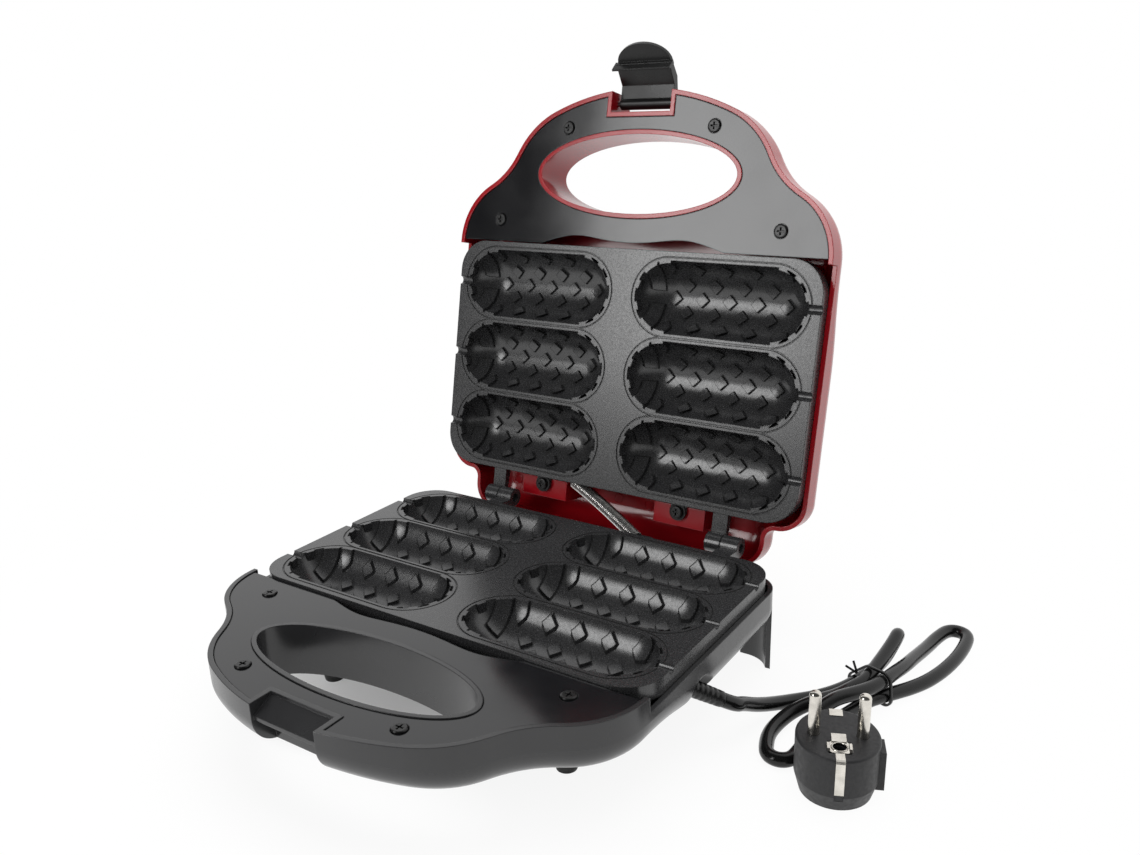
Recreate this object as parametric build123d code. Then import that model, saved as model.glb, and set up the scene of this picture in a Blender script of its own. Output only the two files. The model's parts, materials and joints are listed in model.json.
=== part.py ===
from build123d import *
import os
from math import acos, atan2, ceil, cos, degrees, hypot, pi, radians, sin, sqrt, tan

# Hot dog waffle maker: a hinged countertop iron with six hot dog moulds in each half.
# The model is drawn with its two halves shut, face to face at height zero.
# The upper half is the lower half's twin, turned over and then swung open at the rear hinge.
# Lengths are in millimetres and angles in degrees.

# Overall sizes
plate_width = 220.0
plate_depth = 130.0
body_half_width = 112.4
parting_height = 52.0
lid_open_angle = 102.4
latch_open_angle = 49.0
wall = 2.3
overrun = 20.0
gap = 0.3

# Cast grill plates
face_gap = 0.25
plate_corner = 17.0
plate_skin = 2.8
rim_depth = 8.0
rim_wall = 3.0
mould_length = 95.5
mould_width = 37.6
mould_depth = 16.4
mould_inner_end = 8.0
row_pitch = 41.5
pad_rise = 1.4
pad_half = 3.9
pad_pitch = 15.65
pad_row_angles = (0.0, 22.3, 52.0)
bar_width = 6.0
tab_width = 4.6
tab_reach = 1.4
tab_angles = (18.0, 48.0, 78.0)
lip_offset = 1.5
lip_width = 0.55
lip_depth = 0.4
stick_radius = 2.2
boss_radius = 4.5
boss_place = row_pitch / 2
ear_width = 9.0
ear_thickness = 1.5
lug_overlap = 3.0

# Hinge
hinge_y = 79.7
hinge_z = -2.0
knuckle_radius = 5.0
knuckle_side_gap = 0.4
lid_knuckle_centre = 70.5
lid_knuckle_width = 8.4
base_knuckle_width = 9.5
arm_thickness = 5.0
hinge_pin_radius = 2.4
hinge_pin_play = 0.05
pin_setback = 3.5

# Shell outline
rear_y = 67.6
rear_corner = 16.0
handle_start = 63.2
shoulder_start = 64.0
shoulder_radius = 36.9
shoulder_turn = 59.6
flank_length = 2.0
waist_radius = 43.0
waist_turn = 31.0
cheek_length = 2.2
nose_corner_radius = 47.6
nose_corner_turn = 37.8
tail_half_width = 92.5
tail_length = 92.0
tail_corner = 14.6
tail_waist_radius = 5.2
tail_shoulder_radius = 14.6
tail_shoulder_y = 69.5

# Shell depths, measured away from the parting plane
shell_edge = 8.0
handle_edge = 1.0
tray_depth = 31.0
tray_edge_radius = 14.0
handle_depth = 25.7
handle_rise_start = 8.0
handle_rise_length = 54.0
nose_rise_start = 112.0
nose_rise_radius = 82.0
nose_rise_turn = 30.0
tub_depth = 43.0
tub_half_width = 90.0
tub_front = 64.0
tub_rear = 58.0
tub_corner = 24.0
tub_draft = 18.0
tub_edge_radius = 9.0
crown_radius = 700.0

# Handle
hole_y = 103.5
hole_half_width = 58.65
hole_half_depth = 20.4
panel_drop = 0.5
panel_thickness = 2.6
panel_front_line = 65.6
panel_wave_shares = ((-0.47, 0.0), (-0.42, 0.36), (-0.29, 1.0), (-0.14, 0.72), (0.0, 0.5),
                     (0.14, 0.72), (0.29, 1.0), (0.42, 0.36), (0.47, 0.0))
panel_wave_width = 118.0
panel_wave_depth = 5.0

# Latch and its recess
recess_half_width = 17.6
recess_y = 135.2
lip_front = 144.6
lip_top = 2.4
lip_drop = 4.8
lip_plate = 1.8
latch_pin_y = 140.6
latch_pin_z = 9.0
latch_pin_radius = 1.2
latch_pin_play = 0.06
latch_barrel_radius = 3.0
latch_half_width = 15.6
latch_bar_half_width = 16.9
latch_length = 20.3
latch_bulge = 2.6
latch_thickness = 2.0
latch_hook_reach = 3.4
latch_hook_height = 2.0
latch_tab_reach = 10.5
latch_tab_thickness = 2.0

# Fasteners
screw_radius = 1.5
bore_play = 0.06
screw_head_radius = 3.3
screw_head_height = 1.9
cross_width = 0.8
cross_length = 3.6
cross_depth = 1.1
post_radius = 3.6
panel_screw_length = 11.0
panel_screw_places = ((43.4, 127.5), (84.7, 77.5))
plate_screw_radius = 2.0
plate_screw_head_radius = 3.6
plate_screw_bite = 9.0
rear_screw_place = (43.5, 69.9)
rear_screw_length = 12.0
rear_block = (30.0, 11.0)
rear_collar_radius = 4.7
rear_collar_thickness = 0.8

# Heating parts
element_radius = 3.2
element_run = 74.0
element_spread = 31.0
element_bend = 14.0
bead_radius = 3.3
bead_length = 8.0
cold_pin_radius = 1.1
cold_pin_length = 9.0
reflector_thickness = 0.7
reflector_size = (158.0, 96.0)
reflector_corner = 16.0
thermostat_radius = 8.0
thermostat_height = 7.0
thermostat_place = (-34.0, 0.0)
thermostat_flange = (24.0, 7.0, 0.8)
fuse_radius = 2.0
fuse_length = 14.0
fuse_clip = (10.0, 8.0, 0.8)
terminal_block_size = (30.0, 14.0, 9.0)
terminal_block_place = (26.0, -38.0)
terminal_block_lift = 2.8
terminal_screw_radius = 1.8
lead_radius = 1.2

# Feet and legs
foot_place = (69.0, -58.0)
foot_boss_radius = 7.6
foot_top_radius = 6.4
foot_bottom_radius = 4.6
foot_dish_radius = 2.2
foot_dish_depth = 1.2
leg_side_y = 58.0
leg_rear_x = 92.0

# Indicator lamps in the lid
lamp_spacing = 22.0
lamp_y = -28.0
lens_radius = 3.6
lens_rim = 1.2
lens_rise = 1.2
lens_stem = 6.0
bulb_radius = 2.0
bulb_length = 9.0
lamp_bracket_size = (38.0, 9.0, 1.2)

# Spring conduit that carries the lid's leads across the hinge
conduit_foot = (30.3, 68.8, -4.0)
conduit_head = (-24.9, 95.2, 7.9)
conduit_radius = 2.6
conduit_wire_radius = 0.4
conduit_pitch = 1.3
conduit_lead_radius = 0.75
saddle_size = (14.0, 7.0, 9.0)

# Mains cord, laid by hand on the surface beside the maker
cord_radius = 3.25
cord_exit_start = (102.5, -24.0, -18.0)
cord_heading = 45.0
cord_descent = 30.0
cord_lead = 7.0
niche_radius = 8.2
relief_neck_radius = 3.7
relief_root_radius = 5.4
relief_tip_radius = 3.9
relief_length = 24.0
relief_flange = (5.4, 2.4)
cord_points = [
    (121.8, 1.2, -36.2), (124.6, 11.8, -42.0), (129.0, 23.8, -46.3), (134.4, 33.8, -48.5),
    (140.6, 40.6, -48.7), (146.7, 48.0, -48.0), (151.4, 55.8, -47.2), (154.3, 66.0, -46.8),
    (156.3, 78.0, -47.8), (156.8, 85.4, -48.5), (157.1, 93.2, -48.7), (158.4, 97.5, -44.6),
    (160.4, 97.5, -39.0), (161.7, 93.2, -34.9), (161.6, 85.2, -36.4), (161.0, 77.5, -37.9),
    (160.1, 65.0, -39.6), (159.1, 53.5, -40.9), (155.6, 45.8, -41.7), (150.9, 38.9, -43.6),
    (146.3, 33.9, -44.2), (141.6, 28.2, -44.9), (136.7, 21.4, -46.9), (133.9, 13.0, -48.5),
    (133.6, 3.6, -48.7), (135.6, -4.0, -48.7), (138.5, -10.5, -48.7), (144.0, -12.2, -48.7),
    (148.7, -9.0, -48.7), (149.3, -2.2, -48.7), (149.6, 4.6, -48.0), (149.1, 12.2, -45.3),
    (149.6, 20.4, -40.8), (153.4, 28.6, -38.6), (158.7, 36.2, -38.5), (163.5, 44.8, -39.1),
    (166.5, 54.6, -39.7), (168.1, 66.5, -41.0), (169.7, 78.5, -43.0), (170.2, 90.8, -45.2),
    (171.0, 102.4, -47.2), (171.9, 112.6, -48.5), (173.1, 122.8, -48.7), (175.8, 133.4, -48.7),
    (181.4, 135.3, -48.7), (186.3, 132.0, -48.7), (187.1, 122.4, -48.7), (186.8, 111.2, -48.7),
    (185.4, 99.8, -48.7), (183.1, 89.2, -48.7), (179.8, 78.8, -48.6), (175.4, 69.4, -48.2),
    (170.9, 61.2, -47.5), (166.5, 53.6, -46.9), (162.0, 46.4, -46.9), (159.6, 37.9, -47.3),
    (157.3, 29.1, -46.9),
]
cord_plug_lead = 8.0
tie_place = (161.0, 57.6)
tie_heading = 68.0
tie_reach = 20.0
tie_slack = 0.5
tie_wire = 1.1
tie_tail_length = 6.0

# Mains plug
plug_place = (168.9, -12.3)
plug_turn = 23.0
plug_width = 33.4
plug_depth = 36.0
plug_height = 25.0
plug_base_width = 29.0
plug_waist_height = 8.0
plug_neck_radius = 6.0
plug_spout_radius = 4.5
plug_spout_z = 6.4
plug_spout_reach = 27.0
plug_pin_radius = 2.4
plug_pin_length = 19.0
plug_pin_half_spacing = 9.5
earth_hole_radius = 2.6
earth_hole_offset = 9.0
earth_plate = (9.0, 8.0, 1.0)
earth_strip = (3.6, 1.0)
grip_size = (3.4, 10.0, 17.0)

# Values worked out from the sizes above
mould_radius = mould_width / 2
mould_lift = (mould_radius ** 2 - mould_depth ** 2) / (2 * mould_depth)
mould_ball = mould_depth + mould_lift
mould_straight = mould_length - mould_width
mould_centre_x = mould_inner_end + mould_length / 2
bowl_bottom = mould_ball + plate_skin - mould_lift
element_z = -(bowl_bottom + face_gap + gap + element_radius)
reflector_top = element_z - element_radius - gap
reflector_bottom = reflector_top - reflector_thickness
tub_floor = wall - tub_depth
handle_floor = wall - handle_depth
panel_top = -(handle_edge + panel_drop)
panel_bottom = panel_top - panel_thickness
columns = (-1, 1)
rows = (-1, 0, 1)
hinge_axis = Axis((0, hinge_y, hinge_z), (1, 0, 0))
latch_axis = Axis((0, -latch_pin_y, latch_pin_z), (1, 0, 0))
cord_way = Vector(cos(radians(cord_descent)) * cos(radians(cord_heading)),
                  cos(radians(cord_descent)) * sin(radians(cord_heading)),
                  -sin(radians(cord_descent)))


# Small helpers

def upright(sketch, low, high):
    """A prism of the sketch between two heights."""
    return extrude(Pos(0, 0, low) * sketch, amount=high - low)


def along_x(points, x_start, x_end):
    """A prism along X of an outline given as (y, z) points."""
    face = make_face(Polyline(*points, close=True))
    return extrude(Plane.YZ.offset(x_start) * face, amount=x_end - x_start)


def rod(start, end, radius):
    """A round bar from one point to another."""
    start = Vector(*start)
    end = Vector(*end)
    way = end - start
    return Plane(origin=start, z_dir=way) * extrude(Circle(radius), amount=way.length)


def tube_along(path, radius):
    """A round tube or wire along a line of tangent runs and arcs."""
    return sweep(Plane(origin=path @ 0, z_dir=path % 0) * Circle(radius), path=path)


def both_sides(shape):
    """The shape and its mirror image about the centre plane."""
    return [shape, mirror(shape, about=Plane.YZ)]


def joined(parts):
    """All the parts fused into one solid, or kept apart where they don't meet."""
    whole = parts[0]
    for part in parts[1:]:
        whole = whole + part
    return whole


def group(parts):
    """Separate solids kept in one node."""
    return Compound(children=[solid for part in parts for solid in part.solids()])


# Cast grill plates

def capsule(radius):
    """A hot dog shape: a round bar with ball ends, lying along X."""
    half = mould_straight / 2
    top = Line((-half, radius), (half, radius))
    right = RadiusArc((half, radius), (half + radius, 0), radius)
    left = RadiusArc((-half - radius, 0), (-half, radius), radius)
    base = Line((half + radius, 0), (-half - radius, 0))
    return Pos(0, 0, mould_lift) * revolve(make_face([top, right, base, left]), Axis.X)


def across(angle):
    """How far from the mould's middle a point at this angle on its wall lies, seen from above."""
    return mould_ball * sin(radians(angle))


def diamond(x, angle):
    """One raised diamond, foreshortened as the wall gets steeper."""
    swing = degrees(pad_half / mould_ball)
    low, middle, high = across(angle - swing), across(angle), across(angle + swing)
    return make_face(Polyline((x - pad_half, middle), (x, low), (x + pad_half, middle), (x, high),
                              close=True))


def bar_pad(x, angle, pointed):
    """A long pad that runs up the wall to the mould's edge."""
    half = bar_width / 2
    low = across(angle - degrees(pad_half / mould_ball))
    corner = low + half if pointed else low
    rim = mould_radius + half
    return make_face(Polyline((x - half, rim), (x - half, corner), (x, low), (x + half, corner),
                              (x + half, rim), close=True))


def end_pad(x, angle):
    """A pad near the mould's plain end, with a slanting inner edge."""
    swing = degrees(pad_half / mould_ball)
    low, middle, high = across(angle - swing), across(angle), across(angle + swing)
    return make_face(Polyline((x - pad_half, middle), (x - pad_half / 4, low), (x + pad_half, low),
                              (x + pad_half * 3 / 2, middle), (x + pad_half, high),
                              (x - pad_half / 4, high), close=True))


def rim_tabs():
    """Short tabs that stand round both ends of the mould's edge."""
    tabs = []
    reach = tab_reach + plate_skin
    for end in columns:
        for side in columns:
            for angle in tab_angles:
                turn = side * angle if end > 0 else 180 - side * angle
                tab = Pos(mould_radius - tab_reach + reach / 2, 0) * Rectangle(reach, tab_width)
                tabs.append(Pos(end * mould_straight / 2, 0) * Rot(0, 0, turn) * tab)
    return tabs


def pad_prisms():
    """Every pad of one mould as an upright prism."""
    shapes = [diamond(step * pad_pitch, pad_row_angles[0]) for step in (-2, -1, 0, 1, 2)]
    for side in columns:
        half_steps = (-3, -1, 1, 3)
        row = [diamond(step * pad_pitch / 2, pad_row_angles[1]) for step in half_steps]
        row += [diamond(step * pad_pitch, pad_row_angles[2]) for step in (-1, 0, 1)]
        row.append(bar_pad(-5 * pad_pitch / 2, pad_row_angles[1], False))
        row.append(bar_pad(-2 * pad_pitch, pad_row_angles[2], True))
        row.append(end_pad(2 * pad_pitch, pad_row_angles[2]))
        row.append(end_pad(5 * pad_pitch / 2, pad_row_angles[1]))
        shapes += [shape if side > 0 else mirror(shape, about=Plane.XZ) for shape in row]
    shapes += rim_tabs()
    return [upright(shape, -mould_ball, mould_ball) for shape in shapes]


def mould_cutter():
    """What one mould takes out of the plate: the hot dog less its raised pads."""
    ridges = joined(pad_prisms()) - capsule(mould_ball - pad_rise)
    return capsule(mould_ball) - ridges


def lip_ring():
    """The fine groove round a mould."""
    inner = mould_length + 2 * lip_offset
    outer = inner + 2 * lip_width
    ring = SlotOverall(outer, mould_width + 2 * lip_offset + 2 * lip_width)
    ring -= SlotOverall(inner, mould_width + 2 * lip_offset)
    return upright(ring, -face_gap - lip_depth, overrun)


def grill_plate():
    """One cast plate, face up, with six moulds, stick channels and screw bosses."""
    face = RectangleRounded(plate_width, plate_depth, plate_corner)
    pan = RectangleRounded(plate_width - 2 * rim_wall, plate_depth - 2 * rim_wall, plate_corner - rim_wall)
    places = [(column * mould_centre_x, row * row_pitch) for column in columns for row in rows]
    plate = upright(face, -rim_depth, -face_gap) - upright(pan, -overrun, -face_gap - plate_skin)
    bowl = capsule(mould_ball + plate_skin) - upright(Rectangle(plate_width, plate_depth),
                                                     -face_gap, plate_width)
    plate = joined([plate] + [Pos(x, y, 0) * bowl for x, y in places])
    for side in columns:
        boss = upright(Circle(boss_radius), reflector_top, -face_gap - plate_skin / 2)
        bore = Circle(plate_screw_radius + bore_play)
        hole = upright(bore, reflector_top - overrun, reflector_top + plate_screw_bite)
        plate = plate + Pos(0, side * boss_place, 0) * boss - Pos(0, side * boss_place, 0) * hole
    cutter = mould_cutter()
    ring = lip_ring()
    reach = plate_width / 2 - mould_centre_x
    for x, y in places:
        channel = rod((0, 0, -face_gap), (reach + overrun, 0, -face_gap), stick_radius)
        channel = channel if x > 0 else mirror(channel, about=Plane.YZ)
        plate = plate - Pos(x, y, 0) * cutter - Pos(x, y, 0) * ring
        plate = plate - Pos(x, y, 0) * (channel - capsule(mould_ball - pad_rise))
    return plate


def knuckle(x_start, x_end, height):
    """One hinge eye, bored for the pin."""
    eye = rod((x_start, hinge_y, height), (x_end, hinge_y, height), knuckle_radius)
    bore = rod((x_start - overrun, hinge_y, height), (x_end + overrun, hinge_y, height),
               hinge_pin_radius + bore_play / 3)
    return eye, bore


def lower_plate():
    """The base's plate with its two fixed hinge eyes on sloping webs."""
    plate = grill_plate()
    for side in columns:
        start = side * lid_knuckle_centre + lid_knuckle_width / 2 + knuckle_side_gap
        end = start + base_knuckle_width
        eye, bore = knuckle(start, end, hinge_z)
        back = plate_depth / 2
        web = along_x([(back - rim_wall, -face_gap - gap), (back - rim_wall, -rim_depth + gap),
                       (hinge_y, hinge_z - knuckle_radius + gap), (hinge_y, hinge_z)],
                      start, end)
        plate = plate + web + eye - bore
    return plate


def upper_plate():
    """The lid's plate, drawn face up like the lower one, with hinge arms and rear ears."""
    plate = grill_plate()
    back = plate_depth / 2
    for side in columns:
        middle = side * lid_knuckle_centre
        start, end = middle - lid_knuckle_width / 2, middle + lid_knuckle_width / 2
        eye, _ = knuckle(start, end, -hinge_z)
        bore = rod((start - overrun, hinge_y, -hinge_z), (end + overrun, hinge_y, -hinge_z),
                   hinge_pin_radius + hinge_pin_play)
        top = -face_gap - gap
        arm = along_x([(back - rim_wall, top), (back - rim_wall, top - arm_thickness),
                       (hinge_y, -hinge_z - knuckle_radius), (hinge_y, -hinge_z),
                       (hinge_y - knuckle_radius, top)], start, end)
        plate = plate + arm + eye - bore
        ear_x = side * rear_screw_place[0]
        ear_length = rear_screw_place[1] - back + rim_wall
        ear = Pos(ear_x, back - rim_wall + ear_length / 2) * Rectangle(ear_width, ear_length)
        ear = ear + Pos(ear_x, rear_screw_place[1]) * Circle(ear_width / 2)
        plate = plate + upright(ear, -rim_depth, -rim_depth + ear_thickness)
        hole = Pos(ear_x, rear_screw_place[1]) * Circle(screw_radius + gap)
        plate = plate - upright(hole, -overrun, -rim_depth + overrun)
    return plate


# Shells

def front_outline():
    """Right half of the handle's outline, from the plate zone round to the middle of the front."""
    side = Line((body_half_width, 0), (body_half_width, -shoulder_start))
    shoulder = JernArc(side @ 1, side % 1, shoulder_radius, -shoulder_turn)
    flank = Line(shoulder @ 1, shoulder @ 1 + (shoulder % 1) * flank_length)
    waist = JernArc(flank @ 1, flank % 1, waist_radius, waist_turn)
    cheek = Line(waist @ 1, waist @ 1 + (waist % 1) * cheek_length)
    corner = JernArc(cheek @ 1, cheek % 1, nose_corner_radius, -nose_corner_turn)
    nose_turn = degrees(acos(-(corner % 1).X))
    nose_radius = (corner @ 1).X / sin(radians(nose_turn))
    nose = JernArc(corner @ 1, corner % 1, nose_radius, -nose_turn)
    return [side, shoulder, flank, waist, cheek, corner, nose]


def base_outline():
    """The base shell seen from above."""
    side = Line((body_half_width, 0), (body_half_width, rear_y - rear_corner))
    corner = JernArc(side @ 1, side % 1, rear_corner, 90)
    back = Line(corner @ 1, (0, rear_y))
    return mirrored_face(front_outline() + [side, corner, back])


def lid_outline():
    """The lid shell seen from above, with the narrower tail that covers the hinge."""
    side = Line((body_half_width, 0), (body_half_width, tail_shoulder_y - tail_shoulder_radius))
    shoulder = JernArc(side @ 1, side % 1, tail_shoulder_radius, 90)
    inward_x = tail_half_width + tail_waist_radius
    step = Line(shoulder @ 1, (inward_x, tail_shoulder_y))
    waist = JernArc(step @ 1, step % 1, tail_waist_radius, -90)
    flank = Line(waist @ 1, (tail_half_width, tail_length - tail_corner))
    corner = JernArc(flank @ 1, flank % 1, tail_corner, 90)
    back = Line(corner @ 1, (0, tail_length))
    return mirrored_face(front_outline() + [side, shoulder, step, waist, flank, corner, back])


def mirrored_face(edges):
    """A face bounded by a half outline and its mirror image."""
    return make_face(edges + [mirror(edge, about=Plane.YZ) for edge in edges])


def underside(inset):
    """All that lies above the tray's underside, which rises to the handle and again at its nose."""
    rise = handle_rise_length / 2
    climb = (tray_depth - handle_depth) / 2
    bend = (rise ** 2 + climb ** 2) / (2 * climb)
    turn = degrees(atan2(rise, bend - climb))
    level = Line((tail_length + overrun, inset - tray_depth), (-handle_rise_start, inset - tray_depth))
    start = JernArc(level @ 1, level % 1, bend, -turn)
    end = JernArc(start @ 1, start % 1, bend, turn)
    grip = Line(end @ 1, (-nose_rise_start, (end @ 1).Y))
    nose = JernArc(grip @ 1, grip % 1, nose_rise_radius, -nose_rise_turn)
    front, rear = (nose @ 1).X, (level @ 0).X
    cover = Polyline(nose @ 1, (front, overrun), (rear, overrun), level @ 0)
    face = make_face([level, start, end, grip, nose] + cover.edges())
    return extrude(Plane.YZ.offset(-2 * body_half_width) * face, amount=4 * body_half_width)


def bowl_of(outline, inset):
    """The shell's outside, or its inside when inset by the wall."""
    face = offset(outline, amount=-inset) if inset else outline
    tray = upright(face, -tub_depth, overrun if inset else 0) & underside(inset)
    low_edges = [edge for face in tray.faces() if face.normal_at().Z < -0.5 for edge in face.edges()]
    rim = [edge for edge in low_edges if sum(edge.is_same(other) for other in low_edges) == 1]
    tray = fillet(rim, tray_edge_radius - inset)
    half = tub_half_width - inset
    length = tub_front + tub_rear - 2 * inset
    middle = (tub_rear - tub_front) / 2
    top = inset + gap - handle_depth
    footprint = Pos(0, middle, top) * RectangleRounded(2 * half, length, tub_corner - inset)
    tub = extrude(footprint, amount=-(tub_depth - inset + top), taper=tub_draft)
    rise = crown_radius - tub_depth + inset
    crown = Pos(0, middle, rise) * Sphere(crown_radius)
    tub = tub & crown
    tub = fillet(tub.faces().sort_by(Axis.Z)[0].outer_wire().edges(), tub_edge_radius - inset)
    return tray + tub


def post(x, y, foot, head):
    """A screw post."""
    return Pos(x, y, 0) * upright(Circle(post_radius), foot, head)


def shell(outline):
    """One half's moulded shell with its handle hole, recess and screw posts."""
    outside = bowl_of(outline, 0)
    inside = bowl_of(outline, wall)
    body = outside - inside
    sleeve = upright(Pos(0, -hole_y) * Ellipse(hole_half_width + wall, hole_half_depth + wall),
                     -tub_depth, 0)
    half = recess_half_width + wall
    recess = Pos(0, -recess_y - overrun / 2 + wall / 2) * Rectangle(2 * half, overrun + wall)
    extras = sleeve + upright(recess, -tub_depth, 0)
    for x, y in panel_screw_places:
        for side in columns:
            extras = extras + post(side * x, -y, -tub_depth, panel_bottom)
    body = body + (extras & outside)
    hole = Pos(0, -hole_y) * Ellipse(hole_half_width, hole_half_depth)
    notch = Pos(0, -recess_y - overrun) * Rectangle(2 * recess_half_width, 2 * overrun)
    body = body - upright(hole, -tub_depth - overrun, overrun)
    body = body - upright(notch, -tub_depth - overrun, overrun)
    zone = Rectangle(2 * body_half_width + overrun, 2 * body_half_width)
    zone = Pos(0, -handle_start + body_half_width) * zone
    body = body - upright(zone, -shell_edge, overrun)
    body = body - upright(Rectangle(4 * body_half_width, 4 * body_half_width), -handle_edge, overrun)
    for x, y in panel_screw_places:
        for side in columns:
            bore = Pos(side * x, -y) * Circle(screw_radius + bore_play)
            body = body - upright(bore, panel_bottom - panel_screw_length, overrun)
    return body


def leg_ring():
    """Plan of the rear corner wall that runs down to the surface as a leg."""
    outline = base_outline()
    ring = outline - offset(outline, amount=-wall)
    zone = Pos((leg_rear_x + 2 * body_half_width) / 2, (leg_side_y + 2 * rear_y) / 2)
    zone = zone * Rectangle(2 * body_half_width - leg_rear_x, 2 * rear_y - leg_side_y)
    return ring & zone


def cord_place(distance):
    """A point on the cord's way out of the base."""
    return Vector(*cord_exit_start) + cord_way * distance


def base_shell():
    """The base: tray, rear legs, catch lip, cord niche and screw posts."""
    body = shell(base_outline())
    leg = upright(leg_ring(), -parting_height, -shell_edge)
    body = joined([body] + both_sides(leg))
    ramp = along_x([(-recess_y, -lip_top), (-recess_y, -lip_top - lip_plate),
                    (-lip_front, -lip_top - lip_drop - lip_plate), (-lip_front, -lip_top - lip_drop)],
                   -recess_half_width - wall / 2, recess_half_width + wall / 2)
    body = body + ramp
    outside = bowl_of(base_outline(), 0)
    cup = rod(cord_place(-wall), cord_place(relief_length), niche_radius + wall) & outside
    pad = Pos(*terminal_block_place, 0) * Rectangle(*terminal_block_size[:2])
    body = body + (upright(pad, -tub_depth, tub_floor + terminal_block_lift) & outside)
    body = body + cup - rod(cord_place(0), cord_place(2 * relief_length), niche_radius)
    body = body - rod(cord_place(-overrun), cord_place(overrun), relief_neck_radius)
    width, depth, height = saddle_size
    saddle = Pos(conduit_foot[0], rear_y - wall / 2 + depth / 2) * Rectangle(width, depth)
    body = body + upright(saddle, -shell_edge - height, conduit_foot[2])
    way = Vector(*conduit_head) - Vector(*conduit_foot)
    body = body - rod(Vector(*conduit_foot) - way, conduit_head, conduit_radius + gap)
    for side in columns:
        foot = Pos(side * foot_place[0], foot_place[1]) * Circle(foot_boss_radius)
        body = body + upright(foot, -tub_depth, handle_floor)
        place = Pos(0, side * boss_place, 0)
        body = body + place * upright(Circle(post_radius + wall), tub_floor - wall / 2, reflector_bottom)
        bore = Circle(plate_screw_radius + bore_play)
        body = body - place * upright(bore, -tub_depth - overrun, overrun)
        sink = Circle(plate_screw_head_radius + gap)
        body = body - place * upright(sink, -tub_depth - overrun, tub_floor + 2 * wall)
    return body


def lid_shell():
    """The lid: tray, raised top, hinge tail, latch recess, rear screw blocks and lamp holes."""
    body = shell(lid_outline())
    outside = bowl_of(lid_outline(), 0)
    blocks = []
    for side in columns:
        x, y = rear_screw_place
        block = Pos(side * x, y + rear_block[1] / 2 - lug_overlap) * Rectangle(*rear_block)
        blocks.append(upright(block, -tub_depth, -rim_depth))
    body = body + (joined(blocks) & outside)
    for side in columns:
        bore = Pos(side * rear_screw_place[0], rear_screw_place[1]) * Circle(screw_radius + bore_play)
        body = body - upright(bore, -rim_depth - rear_screw_length, overrun)
        lamp = Pos(side * lamp_spacing / 2, lamp_y) * Circle(lens_radius)
        body = body - upright(lamp, -tub_depth - overrun, tub_floor + overrun)
        ledge = latch_half_width + gap
        pin_hole = rod((side * ledge, -latch_pin_y, -latch_pin_z),
                       (side * (recess_half_width + wall / 2), -latch_pin_y, -latch_pin_z),
                       latch_pin_radius + bore_play / 3)
        body = body - pin_hole
    return body


# Handle panels and their screws

def handle_panel():
    """The flat moulded panel between the handle's rim and the plate."""
    outline = offset(base_outline(), amount=-wall - gap)
    reach = 2 * body_half_width
    cover = Pos(0, -panel_front_line - reach / 2) * Rectangle(reach, reach)
    panel = upright(outline & cover, panel_bottom, panel_top)
    hole = Ellipse(hole_half_width + wall + gap, hole_half_depth + wall + gap)
    panel = panel - upright(Pos(0, -hole_y) * hole, -overrun, overrun)
    notch_half = recess_half_width + wall + gap
    notch = Pos(0, -recess_y + wall + gap - overrun) * Rectangle(2 * notch_half, 2 * overrun)
    panel = panel - upright(notch, -overrun, overrun)
    wave = [(share * panel_wave_width, -panel_front_line - depth * panel_wave_depth)
            for share, depth in panel_wave_shares]
    edge = Spline(*wave)
    lid_line = Polyline(wave[-1], (wave[-1][0], -panel_front_line + overrun),
                        (wave[0][0], -panel_front_line + overrun), wave[0])
    panel = panel - upright(make_face([edge] + lid_line.edges()), -overrun, overrun)
    for x, y in panel_screw_places:
        for side in columns:
            place = Pos(side * x, -y, 0)
            panel = panel - place * upright(Circle(screw_radius + gap), -overrun, overrun)
            sink = Circle(screw_head_radius + gap)
            panel = panel - place * upright(sink, panel_top - screw_head_height / 2, overrun)
    return panel


def screw(shank_radius, head_radius, length):
    """A cross-head screw that points down, with the underside of its head at height zero."""
    head = upright(Circle(head_radius), 0, screw_head_height)
    head = fillet(head.edges().group_by(Axis.Z)[-1], screw_head_height / 3)
    shank = upright(Circle(shank_radius), -length, 0)
    slot = Rectangle(cross_length, cross_width) + Rectangle(cross_width, cross_length)
    return head + shank - upright(slot, screw_head_height - cross_depth, overrun)


def panel_screws():
    """The four screws of one handle panel."""
    seat = panel_top - screw_head_height / 2
    one = screw(screw_radius, screw_head_radius, panel_screw_length - panel_thickness)
    return [Pos(side * x, -y, seat) * one for x, y in panel_screw_places for side in columns]


def base_plate_screws():
    """Two long screws that hold the lower plate from below."""
    seat = tub_floor + 2 * wall
    one = Rot(180, 0, 0) * screw(plate_screw_radius, plate_screw_head_radius,
                                 reflector_top + plate_screw_bite - gap - seat)
    return [Pos(0, side * boss_place, seat) * one for side in columns]


def lid_plate_screws():
    """Two short screws that clamp the reflector to the upper plate."""
    one = Rot(180, 0, 0) * screw(plate_screw_radius, plate_screw_head_radius,
                                 plate_screw_bite + reflector_thickness - gap)
    return [Pos(0, side * boss_place, reflector_bottom) * one for side in columns]


def rear_collars():
    """Black washers between the lid's rear screws and the plate's ears."""
    ring = Circle(rear_collar_radius) - Circle(screw_radius + gap)
    low = -rim_depth + ear_thickness
    x, y = rear_screw_place
    return [Pos(side * x, y, 0) * upright(ring, low, low + rear_collar_thickness) for side in columns]


def rear_screws():
    """The two screws at the lid's rear, seen beside the hinge when it is open."""
    low = -rim_depth + ear_thickness + rear_collar_thickness
    one = screw(screw_radius, screw_head_radius, low + rim_depth + rear_screw_length - gap)
    x, y = rear_screw_place
    return [Pos(side * x, y, low) * one for side in columns]


# Heating parts

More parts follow.
